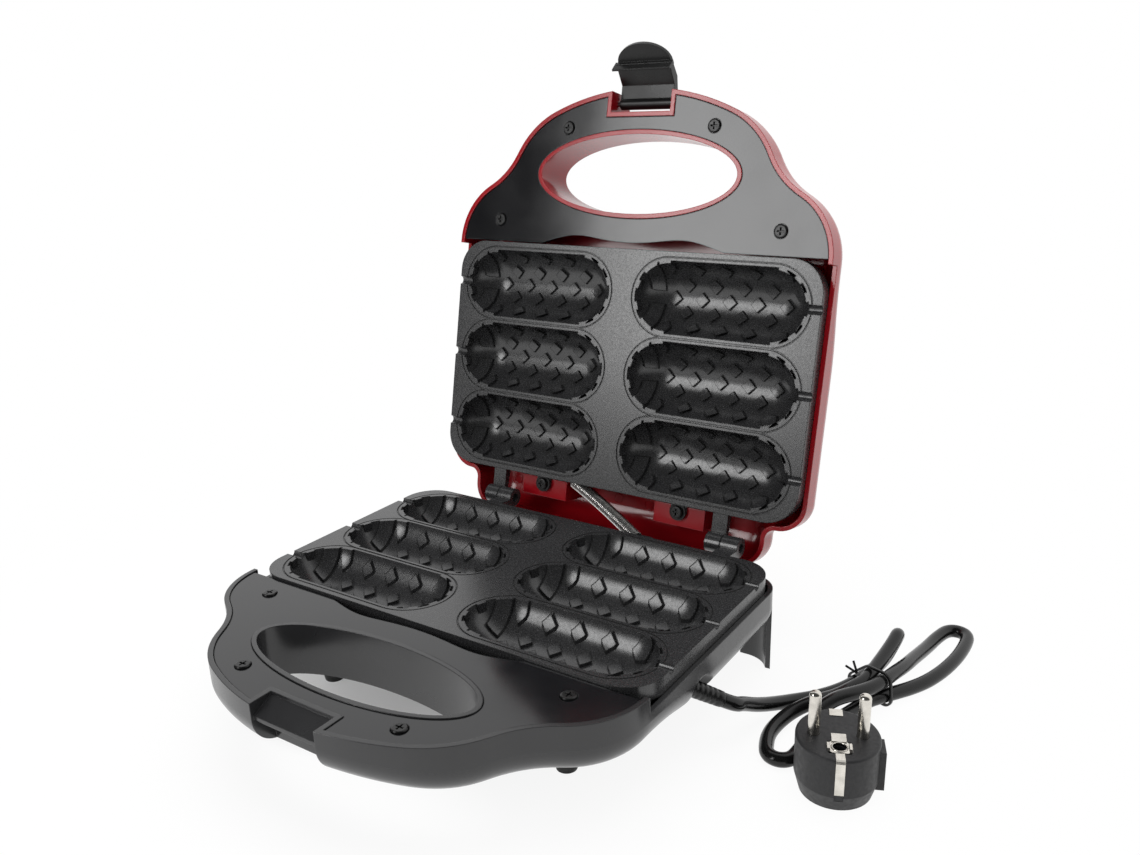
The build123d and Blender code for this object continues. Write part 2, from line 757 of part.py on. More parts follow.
def heating_element():
    """A U-shaped tubular element under the moulds."""
    corners = [(element_run, -element_spread), (-element_run, -element_spread),
               (-element_run, element_spread), (element_run, element_spread)]
    path = FilletPolyline(*[(x, y, element_z) for x, y in corners], radius=element_bend)
    return tube_along(path, element_radius)


def element_beads():
    """Ceramic beads on the element's two ends."""
    ring = Circle(bead_radius)
    beads = []
    for side in columns:
        start = Vector(element_run, side * element_spread, element_z)
        face = ring - Circle(cold_pin_radius + bore_play)
        bead = Plane(origin=start, z_dir=(1, 0, 0)) * extrude(face, amount=bead_length)
        beads.append(bead)
    return beads


def cold_pins():
    """The element's terminal pins, which pass through the beads."""
    start = element_run
    end = element_run + bead_length + cold_pin_length - bead_length / 2
    return [rod((start, side * element_spread, element_z), (end, side * element_spread, element_z),
                cold_pin_radius) for side in columns]


def reflector():
    """The steel sheet that clamps the element and turns its heat back."""
    sheet = RectangleRounded(*reflector_size, reflector_corner)
    for side in columns:
        sheet = sheet - Pos(0, side * boss_place) * Circle(plate_screw_radius + gap)
    return upright(sheet, reflector_bottom, reflector_top)


def thermostat():
    """A disc thermostat with its fixing flange."""
    can = upright(Circle(thermostat_radius), reflector_bottom - thermostat_height, reflector_bottom)
    width, depth, thickness = thermostat_flange
    flange = upright(Rectangle(width, depth), reflector_bottom - thickness, reflector_bottom)
    return Pos(*thermostat_place, 0) * (can + flange)


def thermal_fuse():
    """The one-shot fuse of the lid, lying under its clip."""
    height = reflector_bottom - fuse_radius
    x, y = thermostat_place
    return rod((x - fuse_length / 2, y, height), (x + fuse_length / 2, y, height), fuse_radius)


def fuse_clip_strap():
    """The strap that holds the thermal fuse against the reflector."""
    width, depth, thickness = fuse_clip
    outer = fuse_radius + thickness
    height = reflector_bottom - fuse_radius
    x, y = thermostat_place
    arch = rod((x - width / 2, y, height), (x + width / 2, y, height), outer)
    feet = upright(Rectangle(width, 2 * depth), reflector_bottom - thickness, reflector_bottom)
    keep = upright(Rectangle(2 * width, 4 * depth), reflector_bottom - overrun, reflector_bottom)
    strap = (arch + Pos(x, y, 0) * feet) & (Pos(x, y, 0) * keep)
    seat = rod((x - width, y, height), (x + width, y, height), fuse_radius)
    slot = upright(Rectangle(2 * width, 2 * fuse_radius), height, reflector_bottom)
    return strap - seat - Pos(x, y, 0) * slot


def terminal_block():
    """The block where the mains leads are joined to the element's leads."""
    width, depth, height = terminal_block_size
    x, y = terminal_block_place
    low = tub_floor + terminal_block_lift
    block = upright(Rectangle(width, depth), low, low + height)
    for step in (-1, 0, 1):
        well = Pos(step * width / 3, 0) * Circle(terminal_screw_radius + gap)
        block = block - upright(well, low + height / 2, low + height + overrun)
    return Pos(x, y, 0) * block


def terminal_screws():
    """The block's three clamp screws."""
    width, _, height = terminal_block_size
    x, y = terminal_block_place
    low = tub_floor + terminal_block_lift
    return [Pos(x + step * width / 3, y, 0) *
            upright(Circle(terminal_screw_radius), low + height / 2, low + height - gap)
            for step in (-1, 0, 1)]


# Hinge, latch, feet and lamps

def hinge_pins():
    """Two steel pins, tight in the base's eyes and free in the lid's."""
    pins = []
    for side in columns:
        start = side * lid_knuckle_centre - lid_knuckle_width / 2
        end = start + lid_knuckle_width + knuckle_side_gap + base_knuckle_width - pin_setback
        pins.append(rod((start, hinge_y, hinge_z), (end, hinge_y, hinge_z), hinge_pin_radius))
    return pins


def latch_pin():
    """The steel pin that the latch swings on."""
    end = recess_half_width + wall / 2
    return rod((-end, -latch_pin_y, latch_pin_z), (end, -latch_pin_y, latch_pin_z), latch_pin_radius)


def latch():
    """The latch in its closed place: a bowed arm from the pin down to its hook and finger tab."""
    y, z = -latch_pin_y, latch_pin_z
    barrel = rod((-latch_half_width, y, z), (latch_half_width, y, z), latch_barrel_radius)
    low = z - latch_length
    front = -lip_front - gap - latch_thickness
    inner = [(y, z + latch_thickness / 2), (-lip_front - gap, z - latch_length * 2 / 5),
             (-lip_front - gap, low + latch_hook_height)]
    arm = along_x([(y - latch_barrel_radius, z), (y, z - latch_barrel_radius), inner[1], inner[2],
                   (front + latch_thickness, low), (front - latch_bulge / 2, low),
                   (front - latch_bulge, z - latch_length / 2),
                   (y - latch_barrel_radius - latch_bulge / 2, z)],
                  -latch_half_width, latch_half_width)
    tip = -lip_front - gap + latch_hook_reach
    hook = along_x([(front, low + latch_hook_height), (tip, low + latch_hook_height),
                    (tip, low + latch_hook_height / 2), (front, low)],
                   -latch_bar_half_width, latch_bar_half_width)
    half_plane = Pos(0, -latch_half_width) * Rectangle(2 * latch_half_width, 2 * latch_half_width)
    tab_face = Circle(latch_half_width) & half_plane
    squeeze = latch_tab_reach / latch_half_width
    tab_face = scale(tab_face, by=(1, squeeze, 1))
    tab = extrude(Plane.XZ.offset(-front) * tab_face, amount=latch_tab_thickness, both=False)
    tab = Pos(0, 0, low + latch_hook_height / 2) * tab
    body = barrel + arm + hook + tab
    bore = rod((-recess_half_width, y, z), (recess_half_width, y, z), latch_pin_radius + latch_pin_play)
    return body - bore


def front_feet():
    """Two tapered rubber feet with a small dish underneath."""
    height = parting_height - tub_depth
    foot = extrude(Circle(foot_top_radius), amount=-height,
                   taper=degrees(atan2(foot_top_radius - foot_bottom_radius, height)))
    dish = Pos(0, 0, -height) * upright(Circle(foot_dish_radius), -overrun, foot_dish_depth)
    foot = Pos(foot_place[0], foot_place[1], -tub_depth) * (foot - dish)
    return both_sides(foot)


def lamp_lens(side):
    """A round indicator lens that snaps into the lid's top."""
    stem = upright(Circle(lens_radius - gap / 10), -tub_depth, -tub_depth + lens_stem)
    cap = upright(Circle(lens_radius + lens_rim), -tub_depth - lens_rise, -tub_depth)
    cap = fillet(cap.edges().group_by(Axis.Z)[0], lens_rise / 2)
    hollow = upright(Circle(bulb_radius + gap), -tub_depth + lens_rise, -tub_depth + overrun)
    return Pos(side * lamp_spacing / 2, lamp_y, 0) * (stem + cap - hollow)


def neon_bulbs():
    """The two neon lamps behind the lenses."""
    low = -tub_depth + lens_rise + gap
    return [Pos(side * lamp_spacing / 2, lamp_y, 0) * upright(Circle(bulb_radius), low, low + bulb_length)
            for side in columns]


def lamp_bracket():
    """The strap that holds both neon lamps against their lenses."""
    width, depth, thickness = lamp_bracket_size
    low = -tub_depth + lens_rise + gap + bulb_length
    return Pos(0, lamp_y, 0) * upright(Rectangle(width, depth), low, low + thickness)


# Spring conduit

def biarc(start, start_way, end, end_way):
    """Two tangent arcs that join two points and follow the ways given there."""
    span = end - start
    ways = start_way + end_way
    a = 2 * (1 - start_way.dot(end_way))
    b = 2 * span.dot(ways)
    c = -span.dot(span)
    reach = (-b + sqrt(b * b - 4 * a * c)) / (2 * a)
    middle = (start + end + (start_way - end_way) * reach) / 2
    way = (end - start - ways * reach).normalized()
    return [TangentArc(start, middle, tangent=start_way), TangentArc(middle, end, tangent=way)]


def conduit():
    """The close-wound steel sleeve, as one unbroken wire."""
    foot, head = Vector(*conduit_foot), Vector(*conduit_head)
    axis = (head - foot)
    coil = conduit_radius - conduit_wire_radius
    turns = int(axis.length / conduit_pitch)
    rise = axis.length / turns / (2 * pi)
    frame = Plane(origin=foot, z_dir=axis)
    steps = [pi * step for step in range(2 * turns + 1)]
    places = [frame.from_local_coords(Vector(coil * cos(t), coil * sin(t), rise * t)) for t in steps]
    ways = [(frame.from_local_coords(Vector(-coil * sin(t), coil * cos(t), rise)) - foot).normalized()
            for t in steps]
    arcs = []
    for index in range(2 * turns):
        arcs += biarc(places[index], ways[index], places[index + 1], ways[index + 1])
    first = places[0] - ways[0] * 2 * conduit_wire_radius
    last = places[-1] + ways[-1] * 2 * conduit_wire_radius
    arcs = [Line(first, places[0])] + arcs + [Line(places[-1], last)]
    wire_gap = axis.length / turns - 2 * conduit_wire_radius
    print("conduit", turns, "turns, least gap", round(wire_gap, 2))
    return tube_along(Wire(arcs), conduit_wire_radius)


def conduit_leads():
    """Three insulated leads inside the spring conduit."""
    foot, head = Vector(*conduit_foot), Vector(*conduit_head)
    frame = Plane(origin=foot, z_dir=head - foot)
    spread = (conduit_lead_radius + gap / 10) * 2 / sqrt(3)
    leads = []
    for turn in (0, 1, 2):
        angle = 2 * pi * turn / 3
        place = Pos(spread * cos(angle), spread * sin(angle), 0)
        leads.append(frame * place * extrude(Circle(conduit_lead_radius), amount=(head - foot).length))
    return leads


# Mains cord and plug

def cord_relief():
    """The rubber strain relief, a tapered sleeve with a neck and a flange inside the base."""
    plane = Plane(origin=cord_place(0), z_dir=cord_way)
    flange_radius, flange_depth = relief_flange
    sleeve = loft([plane * Circle(relief_root_radius),
                   plane.offset(relief_length) * Circle(relief_tip_radius)])
    neck = plane.offset(-wall) * extrude(Circle(relief_neck_radius), amount=wall)
    flange = plane.offset(-wall - flange_depth) * extrude(Circle(flange_radius), amount=flange_depth)
    return sleeve + neck + flange


def cord_radii(points):
    """The largest tangent arc that the runs beside each corner allow."""
    radii = []
    for before, here, after in zip(points, points[1:], points[2:]):
        first, second = here - before, after - here
        half_turn = radians(first.get_angle(second)) / 2
        radii.append(0.45 * min(first.length, second.length) / tan(half_turn))
    return radii


def plug_way():
    """The way the cord spout points, level with the surface."""
    turn = radians(plug_turn)
    return Vector(-sin(turn), cos(turn), 0)


def cord_route():
    """The cord's way from the strain relief to the plug."""
    start = cord_place(relief_length)
    end = Vector(*plug_place, plug_spout_z - parting_height) + plug_way() * plug_spout_reach
    points = [start, start + cord_way * cord_lead] + [Vector(*place) for place in cord_points]
    points += [end + plug_way() * cord_plug_lead, end]
    radii = cord_radii(points)
    print("cord radii", [round(radius, 1) for radius in radii])
    return FilletPolyline(*points, radius=radii)


def mains_cord(path):
    """The cord as one tube, with its length, volume and least gap to itself printed."""
    tube = tube_along(path, cord_radius)
    length = path.length
    print("cord length", round(length, 1), "volume over section times length",
          round(tube.volume / (pi * cord_radius ** 2 * length), 4))
    count = int(length / cord_radius * 2)
    places = [path.position_at(step / count) for step in range(count + 1)]
    apart = ceil(8 * cord_radius / (length / count))
    gaps = [(places[i] - places[j]).length for i in range(count + 1) for j in range(i + apart, count + 1)]
    print("cord least gap to itself", round(min(gaps) - 2 * cord_radius, 2))
    return tube


def strands_at_tie(path, plane):
    """Where the cord's four strands pass through the tie's plane."""
    count = int(path.length)
    places = [plane.to_local_coords(path.position_at(step / count)) for step in range(count + 1)]
    strands = []
    for one, two in zip(places, places[1:]):
        near = hypot(one.X, one.Y) < tie_reach
        if near and (one.Z > 0) != (two.Z > 0):
            share = one.Z / (one.Z - two.Z)
            strands.append(one + (two - one) * share)
    return strands


def cord_tie(path):
    """A thin twist tie round the cord's four strands, with two short tails."""
    way = radians(tie_heading)
    middle = (cord_points[0][2] - parting_height) / 2
    plane = Plane(origin=(*tie_place, middle), x_dir=(sin(way), -cos(way), 0),
                  z_dir=(cos(way), sin(way), 0))
    strands = strands_at_tie(path, plane)
    print("tie strands", len(strands))
    edges = [(Pos(strand.X, strand.Y) * Circle(cord_radius)).edge() for strand in strands]
    hull = make_hull(edges)
    ring = offset(hull, amount=tie_slack + tie_wire) - offset(hull, amount=tie_slack)
    loop = extrude(plane * ring, amount=tie_wire / 2, both=True)
    top = plane.from_local_coords(sorted(((s.X, s.Y) for s in strands), key=lambda place: place[1])[-2])
    top = top + Vector(0, 0, cord_radius + tie_slack + tie_wire / 2)
    tails = [rod(top, top + Vector(lean, side * tie_tail_length / 2, tie_tail_length * 2 / 3), tie_wire / 2)
             for lean, side in ((-tie_tail_length / 2, 1), (-tie_tail_length * 3 / 4, -1))]
    return loop + tails[0] + tails[1]


def plug_frame():
    """The plug's own frame: origin in the middle of its back, which rests on the surface."""
    return Pos(*plug_place, -parting_height) * Rot(0, 0, plug_turn)


def plug_body():
    """The plug's moulded body with its earth well, grip and cord spout."""
    foot = Ellipse(plug_base_width / 2, plug_base_width / 2)
    waist = Ellipse(plug_width / 2, plug_depth / 2)
    body = loft([foot, Pos(0, 0, plug_waist_height) * waist])
    body = body + upright(waist, plug_waist_height, plug_height)
    body = fillet(body.edges().group_by(Axis.Z)[-1], tie_wire)
    end = plug_spout_reach
    spout = loft([Plane(origin=(0, 0, plug_spout_z), z_dir=(0, 1, 0)) * Circle(plug_neck_radius),
                  Plane(origin=(0, end, plug_spout_z), z_dir=(0, 1, 0)) * Circle(plug_spout_radius)])
    width, depth, height = grip_size
    grip = Pos(plug_width / 2, 0, plug_height / 2) * Box(width, depth, height)
    body = body + spout + grip
    plate_x, plate_y, plate_thickness = earth_plate
    well = Pos(0, -earth_hole_offset) * Rectangle(plate_x, plate_y)
    body = body - upright(well, plug_height - plate_thickness, plug_height + overrun)
    body = body - upright(Pos(0, -earth_hole_offset) * Circle(earth_hole_radius),
                          plug_height - plug_pin_length / 2, plug_height + overrun)
    strip_width, strip_thickness = earth_strip
    for side in columns:
        groove = Pos(0, side * plug_depth / 2, plug_height) * Box(strip_width, 2 * strip_thickness,
                                                                2 * plug_pin_length)
        hole = Pos(side * plug_pin_half_spacing, 0) * Circle(plug_pin_radius + bore_play)
        body = body - groove
        body = body - upright(hole, plug_height - plug_pin_length / 3, plug_height + overrun)
    return body


def plug_pins():
    """The two round contact pins with domed tips."""
    pins = []
    for side in columns:
        pin = upright(Circle(plug_pin_radius), plug_height - plug_pin_length / 3,
                      plug_height + plug_pin_length)
        pin = fillet(pin.edges().group_by(Axis.Z)[-1], plug_pin_radius * 4 / 5)
        pins.append(Pos(side * plug_pin_half_spacing, 0, 0) * pin)
    return pins


def plug_earth():
    """The earth contact: a socket plate and the two side strips."""
    width_x, width_y, thickness = earth_plate
    socket = Rectangle(width_x, width_y) - Circle(earth_hole_radius)
    parts = [Pos(0, -earth_hole_offset, 0) * upright(socket, plug_height - thickness,
                                                     plug_height + thickness / 2)]
    strip_width, strip_thickness = earth_strip
    for side in columns:
        strip = Pos(0, side * (plug_depth / 2 - strip_thickness / 2), plug_height - plug_pin_length / 2)
        parts.append(strip * Box(strip_width, strip_thickness, plug_pin_length))
    return parts


# Assembly

def to_open(shape):
    """Turns a shut lid part to its photographed place."""
    return shape.rotate(hinge_axis, -lid_open_angle)


def lid_part(shape):
    """Turns a part drawn for the lower half over into the lid, and swings it open."""
    return to_open(mirror(shape, about=Plane.XY))


def build_nodes():
    """Every node of the waffle maker, at rest, before the frame is set."""
    nodes = {}
    nodes["base_shell"] = base_shell()
    nodes["base_handle_panel"] = handle_panel()
    nodes["base_panel_screws"] = group(panel_screws())
    nodes["lower_grill_plate"] = lower_plate()
    nodes["lower_heating_element"] = heating_element()
    nodes["lower_element_beads"] = group(element_beads())
    nodes["lower_element_pins"] = group(cold_pins())
    nodes["lower_reflector"] = reflector()
    nodes["lower_plate_screws"] = group(base_plate_screws())
    nodes["thermostat"] = thermostat()
    nodes["terminal_block"] = terminal_block()
    nodes["terminal_screws"] = group(terminal_screws())
    nodes["front_feet"] = group(front_feet())
    nodes["hinge_pins"] = group(hinge_pins())

    nodes["lid_shell"] = lid_part(lid_shell())
    nodes["lid_handle_panel"] = lid_part(handle_panel())
    nodes["lid_panel_screws"] = group([lid_part(one) for one in panel_screws()])
    nodes["upper_grill_plate"] = lid_part(upper_plate())
    nodes["upper_heating_element"] = lid_part(heating_element())
    nodes["upper_element_beads"] = group([lid_part(one) for one in element_beads()])
    nodes["upper_element_pins"] = group([lid_part(one) for one in cold_pins()])
    nodes["upper_reflector"] = lid_part(reflector())
    nodes["upper_plate_screws"] = group([lid_part(one) for one in lid_plate_screws()])
    nodes["lid_rear_collars"] = group([lid_part(one) for one in rear_collars()])
    nodes["lid_rear_screws"] = group([lid_part(one) for one in rear_screws()])
    nodes["thermal_fuse"] = lid_part(thermal_fuse())
    nodes["thermal_fuse_clip"] = lid_part(fuse_clip_strap())
    nodes["power_lamp_lens"] = lid_part(lamp_lens(-1))
    nodes["ready_lamp_lens"] = lid_part(lamp_lens(1))
    nodes["neon_bulbs"] = group([lid_part(one) for one in neon_bulbs()])
    nodes["lamp_bracket"] = lid_part(lamp_bracket())
    nodes["latch_pin"] = to_open(latch_pin())
    nodes["latch"] = to_open(latch().rotate(latch_axis, -latch_open_angle))
    nodes["spring_conduit"] = conduit()
    nodes["conduit_leads"] = group(conduit_leads())

    nodes["cord_strain_relief"] = cord_relief()
    path = cord_route()
    nodes["mains_cord"] = mains_cord(path)
    nodes["cord_tie"] = cord_tie(path)
    nodes["plug_body"] = plug_frame() * plug_body()
    nodes["plug_pins"] = group([plug_frame() * one for one in plug_pins()])
    nodes["plug_earth_contacts"] = group([plug_frame() * one for one in plug_earth()])
    return nodes


cord_nodes = ("cord_strain_relief", "mains_cord", "cord_tie", "plug_body", "plug_pins",
              "plug_earth_contacts")


def frame_shift(nodes):
    """Moves the origin to the middle of the maker's footprint, on the surface it stands on."""
    boxes = [shape.bounding_box() for name, shape in nodes.items() if name not in cord_nodes]
    low_x, high_x = min(box.min.X for box in boxes), max(box.max.X for box in boxes)
    low_y, high_y = min(box.min.Y for box in boxes), max(box.max.Y for box in boxes)
    return Vector(-(low_x + high_x) / 2, -(low_y + high_y) / 2, parting_height)


def main():
    os.makedirs("parts", exist_ok=True)
    nodes = build_nodes()
    shift = frame_shift(nodes)
    print("frame shift", round(shift.X, 4), round(shift.Y, 4), round(shift.Z, 4))
    for name, shape in nodes.items():
        export_step(Pos(shift.X, shift.Y, shift.Z) * shape, "parts/" + name + ".step")


if __name__ == "__main__":
    main()
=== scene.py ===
# %% [markdown]
# # A hot dog waffle maker, dressed for the camera
#
# The object is a small hinged iron for the kitchen counter. A red lid and a black base each
# hold a cast plate with six hot dog moulds, and a tied cord lies beside them.
# A finished solid model comes in first, as a frame that stays as it is. This lesson gives each
# of its pieces a finish, and adds what a solid model holds badly: a cord that lies like a cord,
# a ringed strain relief, a bent-sheet contact, a wound spring and faint moulding marks. Then it
# adds studio light. Lengths are in metres, except where a comment says millimetres.

# %% Load the frame
import json
from math import cos, pi, radians, sin

import bmesh
import bpy
from mathutils import Matrix, Vector


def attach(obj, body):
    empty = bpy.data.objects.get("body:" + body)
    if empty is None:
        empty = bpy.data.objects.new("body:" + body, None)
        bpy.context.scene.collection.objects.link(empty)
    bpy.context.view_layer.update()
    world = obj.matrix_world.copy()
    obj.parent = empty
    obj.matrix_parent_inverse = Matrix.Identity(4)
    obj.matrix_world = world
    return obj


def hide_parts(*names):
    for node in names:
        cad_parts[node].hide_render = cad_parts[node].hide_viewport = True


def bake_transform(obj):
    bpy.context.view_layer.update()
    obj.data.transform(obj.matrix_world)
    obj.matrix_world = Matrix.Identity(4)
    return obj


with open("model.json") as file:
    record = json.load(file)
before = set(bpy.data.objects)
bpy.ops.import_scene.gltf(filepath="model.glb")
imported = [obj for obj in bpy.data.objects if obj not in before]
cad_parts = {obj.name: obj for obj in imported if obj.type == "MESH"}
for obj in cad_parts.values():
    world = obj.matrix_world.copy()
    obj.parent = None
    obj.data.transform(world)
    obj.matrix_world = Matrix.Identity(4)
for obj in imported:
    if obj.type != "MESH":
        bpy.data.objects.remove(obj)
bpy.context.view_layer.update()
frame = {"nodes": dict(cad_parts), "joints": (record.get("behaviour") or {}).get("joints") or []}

nodes = frame["nodes"]
print("pieces in the frame:", len(nodes))


def placed(name, data):
    """A new object in the scene that holds the data."""
    piece = bpy.data.objects.new(name, data)
    bpy.context.scene.collection.objects.link(piece)
    return piece


def smoothed(data):
    """The same mesh with its faces shaded smooth."""
    for face in data.polygons:
        face.use_smooth = True
    return data

# %% [markdown]
# ## The camera
#
# The photograph was taken with a moderate lens, a little above the maker and to its right.
# A camera can be placed by eye, or solved from points whose real places are known. It was
# solved here, because every later comparison depends on it. Its small roll and lens shift are
# part of the photograph's framing, so they are kept.

# %% Camera at the photograph's view
photo_width = 1140
photo_height = 855
focal_pixels = 1018.4
centre_pixel = (562.0, 450.3)
sensor_width = 36.0
hinge = frame["joints"][0]["pos_m"]
hinge_behind_plate = 0.0797
hinge_below_plate = 0.002
camera_from_plate = Vector((0.2769, -0.3556, 0.2151))
plate_middle = Vector((0, hinge[1] - hinge_behind_plate, hinge[2] + hinge_below_plate))
camera_place = plate_middle + camera_from_plate
camera_turn = radians(34.53)
camera_rise = radians(19.07)
camera_roll = radians(-2.0)

camera = placed("camera", bpy.data.cameras.new("camera"))
bpy.context.scene.camera = camera
camera.data.sensor_width = sensor_width
camera.data.lens = focal_pixels / photo_width * sensor_width
camera.data.shift_x = (photo_width / 2 - centre_pixel[0]) / photo_width
camera.data.shift_y = (centre_pixel[1] - photo_height / 2) / photo_width

back = Vector((sin(camera_turn) * cos(camera_rise), -cos(camera_turn) * cos(camera_rise),
               sin(camera_rise)))
level_right = (-back).cross(Vector((0, 0, 1))).normalized()
level_up = back.cross(level_right)
right = level_right * cos(camera_roll) + level_up * sin(camera_roll)
up = level_up * cos(camera_roll) - level_right * sin(camera_roll)
camera_axes = Matrix((right, up, back)).transposed().to_4x4()
camera.matrix_world = Matrix.Translation(camera_place) @ camera_axes
print("lens:", round(camera.data.lens, 2), "mm")

# %% [markdown]
# ## Studio: floor, background and light
#
# The maker stands on a white sweep in a soft, even light. Near the maker the floor is a real
# pale surface that takes its shadow. Further out the camera sees more and more of the paper's
# own plain white, so the floor runs into the background without a line.
# Glossy black plastic shows the room more than itself. So the room has a white wall behind the
# maker and dark space in front of it. A wide box overhead lights the scene without being
# mirrored in it. One tall soft box at the front left is mirrored, and lays the broad sheen over
# the lid's panel and leaves its left end black.

# %% Small helpers for shader nodes
def add_node(tree, kind, inputs=None, **settings):
    """A new shader node with its settings and unlinked inputs filled in."""
    node = tree.nodes.new(kind)
    for name, value in settings.items():
        setattr(node, name, value)
    for name, value in (inputs or {}).items():
        node.inputs[name].default_value = value
    return node


def new_finish(name):
    """A new material, its node tree and its main shader."""
    finish = bpy.data.materials.new(name)
    finish.use_nodes = True
    return finish, finish.node_tree, finish.node_tree.nodes["Principled BSDF"]


def seen_directly(tree, kinds):
    """1 for the named kinds of ray and 0 for all others."""
    path = add_node(tree, "ShaderNodeLightPath")
    total = path.outputs[kinds[0]]
    for kind in kinds[1:]:
        largest = add_node(tree, "ShaderNodeMath", operation="MAXIMUM")
        tree.links.new(total, largest.inputs[0])
        tree.links.new(path.outputs[kind], largest.inputs[1])
        total = largest.outputs[0]
    return total


# %% Floor
floor_half_size = 3.0
floor_white = 0.86
shade_middle = (-0.05, -0.02)
fade_reach = 0.30
fade_stops = ((0.20, 0.25), (0.32, 0.88), (1.0, 1.0))
floor_roughness = 0.9
floor_specular = 0.1

floor_mesh = bpy.data.meshes.new("floor")
floor_mesh.from_pydata([(x * floor_half_size, y * floor_half_size, 0)
                        for x, y in ((-1, -1), (1, -1), (1, 1), (-1, 1))], [], [(0, 1, 2, 3)])
floor = placed("floor", floor_mesh)

floor_finish, tree, shader = new_finish("floor_paper")
shader.inputs["Base Color"].default_value = (floor_white, floor_white, floor_white, 1)
shader.inputs["Roughness"].default_value = floor_roughness
shader.inputs["Specular IOR Level"].default_value = floor_specular
glow = add_node(tree, "ShaderNodeEmission", {"Color": (1, 1, 1, 1), "Strength": 1.0})
floor_place = add_node(tree, "ShaderNodeTexCoord")
from_maker = add_node(tree, "ShaderNodeMapping")
from_maker.inputs["Location"].default_value = (-shade_middle[0] / fade_reach,
                                               -shade_middle[1] / fade_reach, 0)
from_maker.inputs["Scale"].default_value = (1 / fade_reach, 1 / fade_reach, 1)
reach = add_node(tree, "ShaderNodeVectorMath", operation="LENGTH")
tree.links.new(floor_place.outputs["Object"], from_maker.inputs["Vector"])
tree.links.new(from_maker.outputs["Vector"], reach.inputs[0])
fade = add_node(tree, "ShaderNodeValToRGB")
fade.color_ramp.elements.new(fade_stops[1][0])
for stop, (place, share) in zip(fade.color_ramp.elements, fade_stops):
    stop.position = place
    stop.color = (share, share, share, 1)
tree.links.new(reach.outputs["Value"], fade.inputs["Fac"])
lift = add_node(tree, "ShaderNodeMath", operation="MULTIPLY")
tree.links.new(seen_directly(tree, ["Is Camera Ray", "Is Glossy Ray", "Is Transmission Ray"]),
               lift.inputs[0])
tree.links.new(fade.outputs["Color"], lift.inputs[1])
blend = add_node(tree, "ShaderNodeMixShader")
tree.links.new(lift.outputs[0], blend.inputs[0])
tree.links.new(shader.outputs[0], blend.inputs[1])
tree.links.new(glow.outputs[0], blend.inputs[2])
tree.links.new(blend.outputs[0], tree.nodes["Material Output"].inputs["Surface"])
floor_mesh.materials.append(floor_finish)
print("floor:", 2 * floor_half_size, "m wide")

# %% Background
room_light = 0.62
wall_white = 1.0
front_dark = 0.05
wall_start = -0.10
wall_full = 0.30
world = bpy.data.worlds.new("studio")
world.use_nodes = True
bpy.context.scene.world = world
tree = world.node_tree
surround = tree.nodes["Background"]
surround.inputs["Strength"].default_value = 1.0
ways = add_node(tree, "ShaderNodeTexCoord")
parts = add_node(tree, "ShaderNodeSeparateXYZ")
tree.links.new(ways.outputs["Generated"], parts.inputs[0])
wall = add_node(tree, "ShaderNodeMapRange",
                {"From Min": wall_start, "From Max": wall_full, "To Min": front_dark,
                 "To Max": wall_white},
                interpolation_type="SMOOTHSTEP")
tree.links.new(parts.outputs["Y"], wall.inputs["Value"])
mirrored = add_node(tree, "ShaderNodeMix", data_type="FLOAT")
mirrored.inputs[2].default_value = room_light
tree.links.new(seen_directly(tree, ["Is Glossy Ray"]), mirrored.inputs[0])
tree.links.new(wall.outputs["Result"], mirrored.inputs[3])
plain = add_node(tree, "ShaderNodeMix", data_type="RGBA")
plain.inputs[7].default_value = (1, 1, 1, 1)
tree.links.new(seen_directly(tree, ["Is Camera Ray", "Is Transmission Ray"]), plain.inputs[0])
tree.links.new(mirrored.outputs[0], plain.inputs[6])
tree.links.new(plain.outputs[2], surround.inputs["Color"])
print("background made")

# %% Lamps
def soft_lamp(name, place, target, size, power):
    """A large soft lamp that faces its target."""
    lamp = bpy.data.lights.new(name, "AREA")
    lamp.shape = "RECTANGLE"
    lamp.size, lamp.size_y = size
    lamp.energy = power
    holder = placed(name, lamp)
    holder.location = place
    holder.rotation_mode = "QUATERNION"
    holder.rotation_quaternion = (Vector(target) - Vector(place)).to_track_quat("-Z", "Y")
    return holder


overhead = soft_lamp("overhead_box", place=(0.0, 0.2, 1.6), target=(0, 0, 0.05),
                     size=(1.6, 1.0), power=16)
overhead.visible_glossy = False
soft_lamp("front_left_box", place=(-0.638, -1.30, 0.66), target=(0, 0.10, 0.22),
          size=(0.56, 0.80), power=8)
bpy.context.scene.view_settings.view_transform = "Standard"
print("two lamps")

# %% [markdown]
# ## Patterns that the finishes share
#
# No real surface is one flat colour. Each finish below is built from a few patterns that are
# tied to the piece's own coordinates, so they move with it: a noise of a given grain size, a
# ramp that turns it into a colour or a number, and a bump that turns it into relief. A bevel
# in the shader rounds the light along edges that are sharp in the solid model.

# %% Pattern helpers
noise_low = 0.3
noise_high = 0.7
bevel_samples = 4


def grain(tree, size, detail=2.0, stretch=(1, 1, 1)):
    """Noise with blobs of about the given size."""
    place = add_node(tree, "ShaderNodeTexCoord")
    spread = add_node(tree, "ShaderNodeMapping")
    spread.inputs["Scale"].default_value = stretch
    noise = add_node(tree, "ShaderNodeTexNoise", {"Scale": 1 / size, "Detail": detail})
    tree.links.new(place.outputs["Object"], spread.inputs["Vector"])
    tree.links.new(spread.outputs["Vector"], noise.inputs["Vector"])
    return noise.outputs["Fac"]


def ranged(tree, pattern, low, high):
    """A number between low and high that follows a pattern."""
    spread = add_node(tree, "ShaderNodeMapRange",
                      {"From Min": noise_low, "From Max": noise_high, "To Min": low,
                       "To Max": high})
    tree.links.new(pattern, spread.inputs["Value"])
    return spread.outputs["Result"]


